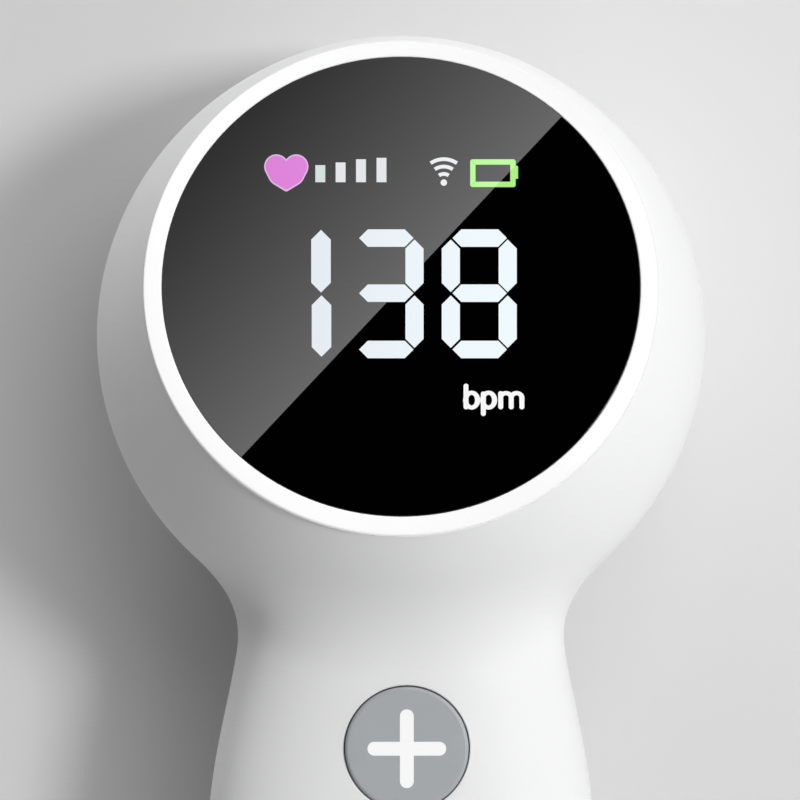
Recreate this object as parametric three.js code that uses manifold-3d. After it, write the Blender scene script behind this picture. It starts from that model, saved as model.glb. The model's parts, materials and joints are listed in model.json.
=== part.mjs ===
// Handheld fetal doppler: a round display head on a short neck, with a flared grip below it.
// Millimetres, +Z up. The doppler lies on its back: the probe face is at the origin and faces -Z,
// the grip runs towards -Y, and the display looks up and a little away from the grip.

import * as THREE from 'three';
import { mergeVertices } from 'three/addons/utils/BufferGeometryUtils.js';
import Module from 'manifold-3d';

const wasm = await Module();
wasm.setup();

// Fits
const seatGap = 0.3; // between a seated piece and its seat
const seamGap = 0.3; // open line between the two housing shells
const keyGap = 0.2; // round a key in its hole
const inlayGap = 0.1; // round a sign in its key
const overrun = 5; // how far a cutting tool passes its face
const weld = 0.0001; // points closer than this are one point

// Housing
const wall = 2.2;
const lipHeight = 1.5;
const blendRadius = 5.5; // where the grip grows out of the head
const levelStep = 0.01;
const leastSlope = 0.25;
const searchReach = 70;
const halvings = 26; // each one halves the doubt about where the surface is

// Display head: a slightly swelling drum on a tilted axis
const displayTilt = THREE.MathUtils.degToRad(15.2);
const seatHeight = 33.3; // middle of the display seat above the probe face
const seatOffset = 4.85; // and its distance from the probe axis, away from the grip
const ringRadius = 26.4;
const glassRadius = 24.5;
const glassProud = 1.1; // glass above the seat of the ring
const headRadius = 32.1;
const headDepth = 15; // display seat down to the widest section
const headOffset = 0.47; // the widest section sits this far towards the grip
const headSwellShare = 1.46; // 1 gives a straight cone, more gives a rounder drum
const headTuck = 4.2; // the drum narrows by this much over another headDepth below the widest
const rimDepth = 3; // the edge under the ring is turned true over this depth
const capRise = 4;
const bowlRadius = 34.5; // the back of the head, before the drum trims it
const bowlTop = 17.8;
const bowlRounding = 4;
const probeProud = 0.8; // the probe face stands this far out of the back
const backFlatWidth = 0.6; // flat of the back that shows round the probe ring

// Grip
const tailReach = 115; // probe axis to the end of the tail
const gripWidth = 43.2;
const gripTop = 29.5; // front of the grip above the probe face
const archHeight = 8.6; // finger room under the grip
const tailLength = 25;
const rootPlace = 8;
const rootLength = 14;
const gripSquareness = 2.4;
const tailSquareness = 2.5;
const partingHeight = 15;
// Rows: place along tailReach, half width over gripWidth, front over gripTop,
// underside over archHeight, parting line over partingHeight
const gripShares = [
  [-0.35, 0.398, 1.0, 0.95, 0.56],
  [0.0, 0.392, 1.0, 0.95, 0.58],
  [0.174, 0.372, 1.0, 0.95, 0.66],
  [0.275, 0.394, 1.0, 0.98, 0.94],
  [0.406, 0.4585, 1.0, 1.0, 0.99],
  [0.609, 0.5, 0.993, 0.8, 0.98],
  [0.783, 0.495, 0.962, 0.15, 0.84],
  [0.87, 0.485, 0.94, -0.13, 0.76],
  [0.93, 0.47, 0.92, 0.0, 0.73],
  [1.15, 0.44, 0.86, 0.7, 0.7],
];
// Rows: place along tailReach, height of the middle over gripTop
const spineShares = [
  [-0.35, 0.5],
  [-0.27, 0.505],
  [0.0, 0.62],
  [0.3, 0.66],
  [0.6, 0.6],
  [0.85, 0.47],
  [1.0, 0.5],
  [1.15, 0.51],
];
const crossStations = 28;
const crossSpokes = 24;
const innerStations = 18;
const innerSpokes = 14;
const partingSteps = 18;
const fineSides = 36; // facets round the display and the probe
const keySides = 24;
const pieceSides = 20; // facets round hidden round pieces
const smallSides = 10; // facets round bosses and screws
const boreSides = 8;
const tinySides = 6;
const stationEndShare = 0.8;

// Display stack, on the display axis, heights from the seat of the ring
const ringWidth = ringRadius - glassRadius - seatGap;
const ringEdge = 0.45;
const ringEdgeFine = 0.15; // the small roundings at its foot and at the glass
const ringCrownSteps = 2;
const glassThickness = 1.4;
const gasketThickness = 0.5;
const gasketWidth = 2;
const windowRadius = 21.8;
const seatPlate = 1.6; // ledge that carries the glass
const moduleThickness = 2.6;
const frameRim = 1.9;
const frameFloor = 1;
const frameWindowRadius = 12;
const displayBoardThickness = 1;
const displayBoardRadius = 20;
const stakeRadius = 0.9;
const stakeCount = 4;

// Probe stack, heights from the probe face
const lensRadius = 17.5;
const lensThickness = 2.2;
const probeRingWidth = 2.9; // with the gap to the lens
const probeRingStep = 0.4; // the ring lies this far behind the probe face
const probeRingThickness = 1.4;
const sealThickness = 0.5;
const sealWidth = 1.2;
const cupFlange = 1.2;
const cupFlangeWidth = 2.8;
const cupWall = 1.3;
const cupHeight = 6.5;
const crystalRim = 3.4; // from the crystals to the wall of the cup
const crystalThickness = 0.5;
const crystalSlit = 1;
const absorberThickness = 2.6;

// Keys
const keyColumn = 0.6; // the key column stands a little right of the middle
const keyPlace = 42.7; // probe axis to the first key
const keyPitch = 18.3;
const keyHoleRadius = 6.5;
const keyRadius = keyHoleRadius - keyGap;
const keyProud = 0.25;
const keyEdge = 0.45;
const keyEdgeFine = 0.13;
const keyFlangeWidth = 0.9;
const keyFlangeThickness = 0.6;
const keyFlangeDrop = 1; // flange under the inside of the wall at the middle
const keyTravel = 0.5;
const signLength = 8.1;
const signStroke = 1.45;
const signDepth = 0.5;
const powerSignRadius = 2.8;
const powerStroke = 1.1;
const powerSignGap = THREE.MathUtils.degToRad(38);

// Switches on the main board
const switchSize = 6;
const switchHeight = 3.6;
const switchBoreRadius = 2;
const stemRadius = switchBoreRadius - seatGap;

// Main board
const boardThickness = 1.2;
const boardTop = 20.4;
const boardStart = 32.5;
const boardEnd = 102.8;
const boardHalfWidth = 14.6;
const boardCorner = 4;

// Battery under the board
const tapeThickness = 0.8;
const batteryStart = 50;
const batteryLength = 40;
const batteryWidth = 22;
const batteryThickness = 5.2;
const batteryCorner = 1.2;

// Small parts on the board
const moduleLength = 7.5;
const moduleWidth = 11;
const moduleHeight = 2.2;
const modulePlace = 52;
const chipWidth = 9;
const chipLength = 4.5;
const chipHeight = 1.2;
const chipPlace = 70.2;
const connectorLength = 4.5;
const connectorWidth = 8;
const connectorHeight = 3;
const connectorPlace = 46;
const ribbonConnectorWidth = 11;
const ribbonConnectorHeight = 1.6;
const ribbonConnectorLength = 3.5;

// Speaker behind the front of the grip
const speakerPlace = 93.8;
const speakerRadius = 7;
const speakerHeight = 2.2;
const speakerMagnetRadius = 4;
const speakerMagnetHeight = 0.6;
const speakerGasketThickness = 0.5;
const speakerGasketWidth = 1.3;
const soundHoleRadius = 0.65;
const soundHolePitch = 2.1;
const soundRings = 2;
const soundHolesPerRing = 6; // and as many more in each ring further out

// Sockets in the tail
const socketHeight = 3.2;
const socketWidth = 9;
const socketLength = 7.4;
const socketWall = 0.35;
const socketTongueWidth = 6.3;
const socketTongueThickness = 0.64;
const socketMouth = 112.3; // probe axis to the mouth of the charging socket
const jackPlace = 9.7; // middle line to the earphone jack
const jackSize = 5.4;
const jackLength = 7.9;
const jackMouth = 105.6;
const jackBoreRadius = 1.8;
const jackBoreDepth = 6.3;
const jackRoom = 1; // round the plug in the shell

// Screws: place across and along, height of the seat under the head
const screwShankRadius = 0.95;
const screwHeadRadius = 2;
const screwHeadHeight = 1.3;
const screwLength = 8;
const screwSlotLength = 2.4;
const screwSlotWidth = 0.5;
const screwSlotDepth = 0.6;
const bossRadius = 2.5;
const shoulderWidth = 1;
const neckScrew = { across: 11, along: -37, seat: 13.1, board: true };
const tailScrew = { across: 13.2, along: -95, seat: 6.6, board: true };
const headScrew = { across: 26, along: 3, seat: 6.4, board: false };

// Leads
const leadRadius = 1.2;
const leadSides = 8;
const leadSteps = 14;
const ribbonThickness = 0.3;
const ribbonWidth = 8;

// Radii and heights worked out from the sizes above
const probeRingRadius = lensRadius + probeRingWidth;
const backFlatRadius = probeRingRadius + backFlatWidth;
const cupRadius = lensRadius - seatGap; // the cup's mouth stands in the hole of the lens
const cupFlangeRadius = cupRadius + cupFlangeWidth;
const crystalRadius = cupRadius - cupWall - crystalRim;
const bowlDepth = bowlTop - probeProud;
const backInside = probeProud + wall;
const boardBottom = boardTop - boardThickness;
const glassBottom = glassProud - glassThickness;
const gasketTop = glassBottom - seatGap / 2;
const pocketFloor = gasketTop - gasketThickness - seatGap / 2;
const plateBottom = pocketFloor - seatPlate;
const moduleTop = glassBottom - seatGap;
const moduleBottom = moduleTop - moduleThickness;
const frameTop = plateBottom - seatGap;
const frameBottom = Math.min(frameTop - frameRim, moduleBottom - seatGap - frameFloor);
const moduleRadius = windowRadius - seatGap;
const frameRadius = moduleRadius + frameRim;
const stakePlace = (moduleRadius + seatGap + frameRadius) / 2;
const displayBoardTop = frameBottom - seatGap;

const sin = Math.sin(displayTilt);
const cos = Math.cos(displayTilt);

// Materials

function material(color, roughness, metalness = 0) {
  return new THREE.MeshStandardMaterial({ color, roughness, metalness });
}

const whiteShell = material(0xf2f2f2, 0.45);
const blackGlass = material(0x050505, 0.06);
const greyKey = material(0xa5aaab, 0.4);
const whiteSign = material(0xffffff, 0.4);
const blackPlastic = material(0x1b1b1c, 0.5);
const greyFoam = material(0x3a3a3c, 0.9);
const softGrey = material(0x9fa4a6, 0.7);
const lensPlastic = material(0xc9cdcf, 0.3);
const ceramic = material(0xb9a27a, 0.5);
const board = material(0x1f5a3a, 0.5);
const steel = material(0xb8bbbe, 0.3, 1);
const foil = material(0xb9bcc0, 0.35, 0.6);
const copper = material(0xc98a4a, 0.5);

// Joining and cutting

function positionsOnly(geometry) {
  const copy = geometry.clone();
  copy.deleteAttribute('normal');
  copy.deleteAttribute('uv');
  const merged = mergeVertices(copy, weld);
  const old = merged.index.array;
  const kept = [];
  for (let i = 0; i < old.length; i += 3) {
    const [a, b, c] = [old[i], old[i + 1], old[i + 2]];
    if (a !== b && b !== c && a !== c) kept.push(a, b, c);
  }
  merged.setIndex(kept);
  if (signedVolume(merged) < 0) turnFaces(merged);
  return merged;
}

function signedVolume(geometry) {
  const place = geometry.attributes.position;
  const order = geometry.index.array;
  const [a, b, c] = [new THREE.Vector3(), new THREE.Vector3(), new THREE.Vector3()];
  let sum = 0;
  for (let i = 0; i < order.length; i += 3) {
    a.fromBufferAttribute(place, order[i]);
    b.fromBufferAttribute(place, order[i + 1]);
    c.fromBufferAttribute(place, order[i + 2]);
    sum += a.dot(b.cross(c));
  }
  return sum;
}

function turnFaces(geometry) {
  const order = Array.from(geometry.index.array);
  for (let i = 0; i < order.length; i += 3) {
    [order[i + 1], order[i + 2]] = [order[i + 2], order[i + 1]];
  }
  geometry.setIndex(order);
}

function toSolid(geometry) {
  const ready = positionsOnly(geometry);
  const vertProperties = new Float32Array(ready.attributes.position.array);
  const triVerts = new Uint32Array(ready.index.array);
  return new wasm.Manifold(new wasm.Mesh({ numProp: 3, vertProperties, triVerts }));
}

function toGeometry(solid) {
  const mesh = solid.getMesh();
  const geometry = new THREE.BufferGeometry();
  const places = new THREE.BufferAttribute(new Float32Array(mesh.vertProperties), 3);
  geometry.setAttribute('position', places);
  geometry.setIndex(Array.from(mesh.triVerts));
  geometry.computeVertexNormals();
  return geometry;
}

function joined(solids) {
  return solids.reduce((whole, solid) => whole.add(solid));
}

// Simple forms, each standing on +Z

function turned(outline, sides) {
  const points = outline.map(([radius, height]) => new THREE.Vector2(radius, height));
  return new THREE.LatheGeometry(points, sides).rotateX(Math.PI / 2);
}

function tube(inner, outer, low, high, sides) {
  return turned([[inner, low], [outer, low], [outer, high], [inner, high], [inner, low]], sides);
}

function disc(radius, low, high, sides) {
  return turned([[0, low], [radius, low], [radius, high], [0, high]], sides);
}

function slab(shape, low, high, curveSegments = 4) {
  const settings = { depth: high - low, bevelEnabled: false, curveSegments };
  return new THREE.ExtrudeGeometry(shape, settings).translate(0, 0, low);
}

function block(width, length, height, x, y, low) {
  return new THREE.BoxGeometry(width, length, height).translate(x, y, low + height / 2);
}

function roundedOutline(halfWidth, low, high, corner) {
  const shape = new THREE.Shape();
  shape.moveTo(-halfWidth + corner, low);
  shape.lineTo(halfWidth - corner, low);
  shape.quadraticCurveTo(halfWidth, low, halfWidth, low + corner);
  shape.lineTo(halfWidth, high - corner);
  shape.quadraticCurveTo(halfWidth, high, halfWidth - corner, high);
  shape.lineTo(-halfWidth + corner, high);
  shape.quadraticCurveTo(-halfWidth, high, -halfWidth, high - corner);
  shape.lineTo(-halfWidth, low + corner);
  shape.quadraticCurveTo(-halfWidth, low, -halfWidth + corner, low);
  return shape;
}

// A level drops below zero inside a form; divided by its own slope it is close to a distance

function curveOf(rows, column, scale) {
  const places = rows.map((row) => row[0] * tailReach);
  const values = rows.map((row) => row[column] * scale);
  const curve = new THREE.CubicInterpolant(places, values, 1);
  return (place) => curve.evaluate(place)[0];
}

const gripHalfWidth = curveOf(gripShares, 1, gripWidth);
const gripFront = curveOf(gripShares, 2, gripTop);
const gripUnderside = curveOf(gripShares, 3, archHeight);
const partingLine = curveOf(gripShares, 4, partingHeight);
const spineHeight = curveOf(spineShares, 1, gripTop);

function drumRadius(depth) {
  const rise = headRadius - ringRadius;
  const steepness = (rise * headSwellShare) / headDepth;
  if (depth <= 0) return ringRadius + steepness * depth;
  const past = depth / headDepth - 1;
  if (past >= 0) return headRadius - headTuck * past * past;
  return ringRadius + rise * (1 - (1 - depth / headDepth) ** headSwellShare);
}

function depthBelowSeat(y, z) {
  return -((y - seatOffset) * sin + (z - seatHeight) * cos);
}

function drumLevel(x, y, z) {
  const depth = depthBelowSeat(y, z);
  const lean = (headOffset * Math.max(0, depth)) / headDepth;
  const across = (y - seatOffset) * cos - (z - seatHeight) * sin + lean;
  return Math.hypot(x, across) - drumRadius(depth);
}

function capLevel(x, y, z) {
  return -depthBelowSeat(y, z) - capRise;
}

function bowlLevel(x, y, z) {
  const out = Math.max(0, (Math.hypot(x, y) - backFlatRadius) / (bowlRadius - backFlatRadius));
  const down = Math.max(0, (bowlTop - z) / bowlDepth);
  return (Math.hypot(out, down) - 1) * bowlDepth;
}

function gripLevel(x, y, z) {
  const place = -y;
  const front = gripFront(place);
  const underside = gripUnderside(place);
  const half = (front - underside) / 2;
  const side = Math.abs(x) / gripHalfWidth(place);
  const lift = Math.abs(z - (front + underside) / 2) / half;
  const section = (side ** gripSquareness + lift ** gripSquareness) ** (1 / gripSquareness);
  const tail = Math.max(0, (place - tailReach + tailLength) / tailLength);
  const root = Math.max(0, (rootPlace - place) / rootLength);
  const sum = section ** tailSquareness + tail ** tailSquareness + root ** tailSquareness;
  return (sum ** (1 / tailSquareness) - 1) * half;
}

function distanceTo(level, x, y, z) {
  const value = level(x, y, z);
  const slope = Math.hypot(
    level(x + levelStep, y, z) - value,
    level(x, y + levelStep, z) - value,
    level(x, y, z + levelStep) - value,
  ) / levelStep;
  return value / Math.max(slope, leastSlope);
}

function smoothUnion(a, b, radius) {
  const share = THREE.MathUtils.clamp(0.5 + (b - a) / (2 * radius), 0, 1);
  return b + (a - b) * share - radius * share * (1 - share);
}

function smoothOverlap(a, b, radius) {
  return -smoothUnion(-a, -b, radius);
}

function bodyDistance(x, y, z) {
  const drum = distanceTo(drumLevel, x, y, z);
  const bowl = distanceTo(bowlLevel, x, y, z);
  const head = Math.max(smoothOverlap(drum, bowl, bowlRounding), capLevel(x, y, z));
  return smoothUnion(head, distanceTo(gripLevel, x, y, z), blendRadius);
}

// The housing surface, or one that lies a given depth under it: cross stations along the part,
// each a ring of points found on spokes round the spine, closed by a point at both ends

function crossing(reach, isInside) {
  let [near, far] = [0, reach];
  for (let halving = 0; halving < halvings; halving += 1) {
    const middle = (near + far) / 2;
    if (isInside(middle)) near = middle;
    else far = middle;
  }
  return (near + far) / 2;
}

function housingForm(depth, stations, spokes) {
  const spinePoint = (y) => [y, spineHeight(-y)];
  const inside = (x, y, z) => bodyDistance(x, y, z) < -depth;
  const top = crossing(searchReach, (reach) => inside(0, ...spinePoint(reach)));
  const tail = -rootPlace - crossing(tailReach, (reach) => (
    inside(0, ...spinePoint(-rootPlace - reach))));
  const points = [[0, ...spinePoint(tail)]];
  for (let station = 1; station < stations; station += 1) {
    const even = station / stations;
    const eased = (1 - Math.cos(Math.PI * even)) / 2;
    const share = even + (eased - even) * stationEndShare;
    const [y, z] = spinePoint(tail + (top - tail) * share);
    for (let spoke = 0; spoke < spokes; spoke += 1) {
      const angle = (2 * Math.PI * spoke) / spokes;
      const [across, up] = [Math.cos(angle), Math.sin(angle)];
      const reach = crossing(searchReach, (r) => inside(r * across, y, z + r * up));
      points.push([reach * across, y, z + reach * up]);
    }
  }
  points.push([0, ...spinePoint(top)]);
  return skinned(points, stations - 1, spokes);
}

function skinned(points, rings, spokes) {
  const faces = [];
  const at = (ring, spoke) => 1 + ring * spokes + (spoke % spokes);
  for (let spoke = 0; spoke < spokes; spoke += 1) {
    faces.push(0, at(0, spoke), at(0, spoke + 1));
    faces.push(points.length - 1, at(rings - 1, spoke + 1), at(rings - 1, spoke));
    for (let ring = 0; ring < rings - 1; ring += 1) {
      const [a, b] = [at(ring, spoke), at(ring, spoke + 1)];
      const [c, d] = [at(ring + 1, spoke), at(ring + 1, spoke + 1)];
      faces.push(a, c, b, b, c, d);
    }
  }
  const geometry = new THREE.BufferGeometry();
  geometry.setAttribute('position', new THREE.Float32BufferAttribute(points.flat(), 3));
  geometry.setIndex(faces);
  return geometry;
}

// Places on the housing

function onDisplayAxis(geometry) {
  return geometry.clone().rotateX(-displayTilt).translate(0, seatOffset, seatHeight);
}

function frontHeight(x, y, depth) {
  const base = spineHeight(-y);
  return base + crossing(searchReach, (rise) => bodyDistance(x, y, base + rise) < -depth);
}

// Everything above the parting line, moved up by a given amount
function aboveParting(shift) {
  const [low, high] = [-tailReach - overrun, bowlRadius + overrun];
  const outline = new THREE.Shape();
  outline.moveTo(low, partingLine(-low) + shift);
  for (let step = 1; step <= partingSteps; step += 1) {
    const y = low + ((high - low) * step) / partingSteps;
    outline.lineTo(y, partingLine(-y) + shift);
  }
  outline.lineTo(high, searchReach);
  outline.lineTo(low, searchReach);
  const halfSpan = bowlRadius + overrun;
  const settings = { depth: 2 * halfSpan, bevelEnabled: false };
  const turn = new THREE.Matrix4().makeBasis(
    new THREE.Vector3(0, 1, 0), new THREE.Vector3(0, 0, 1), new THREE.Vector3(1, 0, 0));
  const geometry = new THREE.ExtrudeGeometry(outline, settings);
  return toSolid(geometry.applyMatrix4(turn).translate(-halfSpan, 0, 0));
}

function displayDrill(radius, low, high, sides = fineSides) {
  return toSolid(onDisplayAxis(disc(radius, low, high, sides)));
}

function drill(radius, x, y, low, high, sides) {
  return toSolid(disc(radius, low, high, sides).translate(x, y, 0));
}

function bothSides(screw) {
  return [-1, 1].map((side) => ({ ...screw, across: side * screw.across }));
}

const screws = [...bothSides(headScrew), ...bothSides(neckScrew), ...bothSides(tailScrew)];

const keyPlaces = [0, 1, 2].map((row) => -keyPlace - row * keyPitch);

// Housing shells

const seatCut = displayDrill(bowlRadius + overrun, 0, searchReach, pieceSides);
const plateCut = displayDrill(bowlRadius + overrun, plateBottom, searchReach, pieceSides);
const heelCut = toSolid(block(2 * gripWidth, tailReach, overrun, 0, -tailReach, -overrun));
const rim = toSolid(onDisplayAxis(turned([
  [0, -rimDepth], [drumRadius(rimDepth), -rimDepth], [ringRadius, 0], [0, 0]], fineSides)));
const outerForm = toSolid(housingForm(0, crossStations, crossSpokes)).subtract(seatCut)
  .subtract(heelCut).add(rim);
const innerForm = toSolid(housingForm(wall, innerStations, innerSpokes)).subtract(plateCut);
const bossForm = toSolid(housingForm(wall / 2, innerStations, innerSpokes)).subtract(plateCut);
const tongueForm = toSolid(housingForm((wall + seamGap) / 2, innerStations, innerSpokes));
const rebateForm = toSolid(housingForm((wall - seamGap) / 2, innerStations, innerSpokes));
const hollow = outerForm.subtract(innerForm);

function frontBoss(screw) {
  const low = partingLine(-screw.along) + seamGap / 2;
  const post = drill(bossRadius, screw.across, screw.along, low, searchReach, smallSides);
  if (!screw.board) return post.intersect(bossForm);
  const shoulder = drill(
    bossRadius + shoulderWidth, screw.across, screw.along, boardTop + seatGap, searchReach, smallSides);
  return joined([post, shoulder]).intersect(bossForm);
}

function soundHoles() {
  const places = [[0, 0]];
  for (let ring = 1; ring <= soundRings; ring += 1) {
    const count = soundHolesPerRing * ring;
    for (let hole = 0; hole < count; hole += 1) {
      const angle = (2 * Math.PI * hole) / count;
      places.push([ring * soundHolePitch * Math.cos(angle), ring * soundHolePitch * Math.sin(angle)]);
    }
  }
  return joined(places.map(([x, y]) => (
    drill(soundHoleRadius, keyColumn + x, -speakerPlace + y, boardTop, searchReach, tinySides))));
}

const socketMiddle = boardBottom - seatGap - socketHeight / 2;
const jackMiddle = boardBottom - seatGap - jackSize / 2;

function tailOpenings() {
  const half = socketHeight / 2 + seatGap;
  const outline = roundedOutline(socketWidth / 2 + seatGap, -half, half, half);
  const port = new THREE.ExtrudeGeometry(
    outline, { depth: overrun * 2, bevelEnabled: false, curveSegments: 4 });
  port.rotateX(Math.PI / 2).translate(0, -tailReach + 2 * overrun, socketMiddle);
  const plugRadius = jackBoreRadius + jackRoom;
  const plug = new THREE.CylinderGeometry(plugRadius, plugRadius, overrun * 4, smallSides);
  plug.translate(jackPlace, -tailReach, jackMiddle);
  return joined([toSolid(port), toSolid(plug)]);
}

function frontShell() {
  const rebate = rebateForm.subtract(aboveParting(lipHeight + seatGap)).intersect(
    aboveParting(-lipHeight));
  const stakes = [];
  for (let stake = 0; stake < stakeCount; stake += 1) {
    const angle = (2 * Math.PI * (stake + 0.5)) / stakeCount;
    const pin = disc(stakeRadius, frameBottom - seatGap, plateBottom + seatPlate / 2, tinySides);
    pin.translate(stakePlace * Math.cos(angle), stakePlace * Math.sin(angle), 0);
    stakes.push(toSolid(onDisplayAxis(pin)));
  }
  const bay = displayDrill(frameRadius + seatGap, displayBoardTop - overrun, plateBottom);
  const shell = hollow.intersect(aboveParting(seamGap / 2)).subtract(rebate);
  const bossed = shell.add(joined(screws.map(frontBoss))).subtract(bay);
  const cuts = [
    displayDrill(windowRadius, plateBottom - overrun, overrun),
    displayDrill(glassRadius + seatGap, pocketFloor, overrun),
    ...keyPlaces.map((y) => drill(keyHoleRadius, keyColumn, y, boardTop, searchReach, keySides)),
    ...screws.map(({ across, along, seat }) => (
      drill(screwShankRadius + seatGap, across, along, seat, seat + screwLength + seatGap, boreSides))),
    soundHoles(),
    tailOpenings(),
  ];
  return joined([bossed, ...stakes]).subtract(joined(cuts));
}

function rearShell() {
  const bossRoom = joined(screws.map(({ across, along }) => (
    drill(bossRadius + seatGap, across, along, partingLine(-along), searchReach, smallSides))));
  const tongue = tongueForm.subtract(innerForm).intersect(aboveParting(-lipHeight))
    .subtract(aboveParting(lipHeight)).subtract(bossRoom);
  const below = aboveParting(-seamGap / 2);
  const posts = screws.map(({ across, along, seat }) => (
    drill(bossRadius, across, along, 0, partingLine(-along) - seamGap / 2, smallSides)));
  const shell = joined([hollow.subtract(below), tongue, joined(posts).intersect(bossForm)]);
  const cuts = [
    drill(lensRadius + seatGap, 0, 0, -overrun, backInside + overrun, fineSides),
    drill(probeRingRadius + seatGap, 0, 0, -overrun,
      probeRingStep + probeRingThickness + seatGap, fineSides),
    drill(cupFlangeRadius + seatGap, 0, 0, backInside, backInside + cupHeight, fineSides),
    ...screws.map(({ across, along, seat }) => (
      drill(screwHeadRadius + seatGap, across, along, -overrun, seat, smallSides))),
    ...screws.map(({ across, along, seat }) => (
      drill(screwShankRadius + seatGap, across, along, 0, seat + screwLength, boreSides))),
  ];
  return shell.subtract(joined(cuts));
}

// Scene graph

const doppler = new THREE.Group();
const displayStack = new THREE.Group();
displayStack.position.set(0, seatOffset, seatHeight);
displayStack.rotation.x = -displayTilt;
doppler.add(displayStack);

function put(name, geometry, finish, parent = doppler) {
  const mesh = new THREE.Mesh(positionsOnly(geometry), finish.clone());
  mesh.geometry.computeVertexNormals();
  mesh.name = name;
  parent.add(mesh);
  return mesh;
}

function addHousing() {
  put('front_shell', toGeometry(frontShell()), whiteShell);
  put('rear_shell', toGeometry(rearShell()), whiteShell);
  for (const [index, screw] of screws.entries()) {
    const head = disc(screwHeadRadius, -screwHeadHeight - seatGap, -seatGap, smallSides);
    const shank = disc(screwShankRadius, -seatGap - screwHeadHeight / 2, screwLength - seatGap, tinySides);
    const slots = [0, Math.PI / 2].map((turn) => toSolid(
      block(screwSlotLength, screwSlotWidth, 2 * screwSlotDepth, 0, 0,
        -screwHeadHeight - seatGap - screwSlotDepth).rotateZ(turn)));
    const body = toSolid(head).add(toSolid(shank)).subtract(joined(slots));
    const mesh = put(`housing_screw_${index + 1}`, toGeometry(body), steel);
    mesh.position.set(screw.across, screw.along, screw.seat);
  }
}

function bezelOutline() {
  const [inner, outer] = [ringRadius - ringWidth, ringRadius];
  const points = [[inner, seatGap], [outer - ringEdgeFine, seatGap], [outer, seatGap + ringEdgeFine]];
  for (let step = 0; step <= ringCrownSteps; step += 1) {
    const angle = ((Math.PI / 2) * step) / ringCrownSteps;
    const radius = inner + ringEdge / 2 + (outer - inner - ringEdge / 2) * Math.cos(angle);
    points.push([radius, ringEdge + (glassProud - ringEdge) * Math.sin(angle)]);
  }
  points.push([inner, glassProud - ringEdgeFine], [inner, seatGap]);
  return points;
}

function addDisplay() {
  put('bezel_ring', turned(bezelOutline(), fineSides), whiteShell, displayStack);
  put('display_glass', disc(glassRadius, glassBottom, glassProud, fineSides), blackGlass, displayStack);
  const gasketRadius = glassRadius - seatGap;
  put('display_gasket', tube(gasketRadius - gasketWidth, gasketRadius,
    gasketTop - gasketThickness, gasketTop, pieceSides), greyFoam, displayStack);
  put('display_module', disc(moduleRadius, moduleBottom, moduleTop, pieceSides), blackPlastic, displayStack);
  const cup = turned([
    [frameWindowRadius, frameBottom], [frameRadius, frameBottom], [frameRadius, frameTop],
    [moduleRadius + seatGap, frameTop], [moduleRadius + seatGap, moduleBottom - seatGap],
    [frameWindowRadius, moduleBottom - seatGap], [frameWindowRadius, frameBottom]], pieceSides);
  const holes = [];
  for (let stake = 0; stake < stakeCount; stake += 1) {
    const angle = (2 * Math.PI * (stake + 0.5)) / stakeCount;
    holes.push(drill(stakeRadius + seatGap, stakePlace * Math.cos(angle),
      stakePlace * Math.sin(angle), frameBottom - overrun, overrun, tinySides));
  }
  put('display_frame', toGeometry(toSolid(cup).subtract(joined(holes))), blackPlastic, displayStack);
  put('display_board', disc(displayBoardRadius, displayBoardTop - displayBoardThickness,
    displayBoardTop, pieceSides), board, displayStack);
}

function halfDisc(radius, slit) {
  const start = Math.asin(slit / (2 * radius));
  const shape = new THREE.Shape();
  shape.absarc(0, 0, radius, start, Math.PI - start, false);
  return shape;
}

function addProbe() {
  put('probe_lens', disc(lensRadius, 0, lensThickness, fineSides), lensPlastic);
  put('probe_ring', tube(lensRadius + seatGap, probeRingRadius, probeRingStep,
    probeRingStep + probeRingThickness, fineSides), softGrey);
  const sealRadius = cupFlangeRadius - seatGap;
  const sealLow = backInside + seatGap / 2;
  put('probe_seal', tube(sealRadius - sealWidth, sealRadius, sealLow, sealLow + sealThickness, pieceSides),
    greyFoam);
  const flangeLow = sealLow + sealThickness + seatGap / 2;
  const cupLow = lensThickness + seatGap;
  const cupTop = cupLow + cupHeight;
  put('transducer_cup', turned([
    [0, cupTop - cupWall], [cupRadius - cupWall, cupTop - cupWall],
    [cupRadius - cupWall, cupLow], [cupRadius, cupLow], [cupRadius, flangeLow],
    [cupFlangeRadius, flangeLow], [cupFlangeRadius, flangeLow + cupFlange],
    [cupRadius, flangeLow + cupFlange], [cupRadius, cupTop], [0, cupTop]], pieceSides), blackPlastic);
  const crystalTop = cupLow + crystalThickness;
  const half = slab(halfDisc(crystalRadius, crystalSlit), cupLow, crystalTop);
  put('transmit_crystal', half, ceramic);
  put('receive_crystal', half.clone().rotateZ(Math.PI), ceramic);
  put('absorber', disc(cupRadius - cupWall - seatGap, crystalTop + seatGap,
    crystalTop + seatGap + absorberThickness, pieceSides), greyFoam);
}

// Keys: cap, white sign in its face, and the switch stem that it pushes

function plusSign(stroke, length) {
  const [half, end] = [stroke / 2, (length - stroke) / 2];
  const shape = new THREE.Shape();
  for (let arm = 0; arm < 4; arm += 1) {
    const angle = (Math.PI / 2) * arm;
    const [c, s] = [Math.cos(angle), Math.sin(angle)];
    const corner = [half * c + half * s, half * s - half * c];
    if (arm === 0) shape.moveTo(...corner);
    else shape.lineTo(...corner);
    shape.absarc(end * c, end * s, half, angle - Math.PI / 2, angle + Math.PI / 2, false);
  }
  shape.closePath();
  return [shape];
}

function minusSign(stroke, length) {
  const [half, end] = [stroke / 2, (length - stroke) / 2];
  const shape = new THREE.Shape();
  shape.absarc(end, 0, half, -Math.PI / 2, Math.PI / 2, false);
  shape.absarc(-end, 0, half, Math.PI / 2, (3 * Math.PI) / 2, false);
  return [shape];
}

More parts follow.
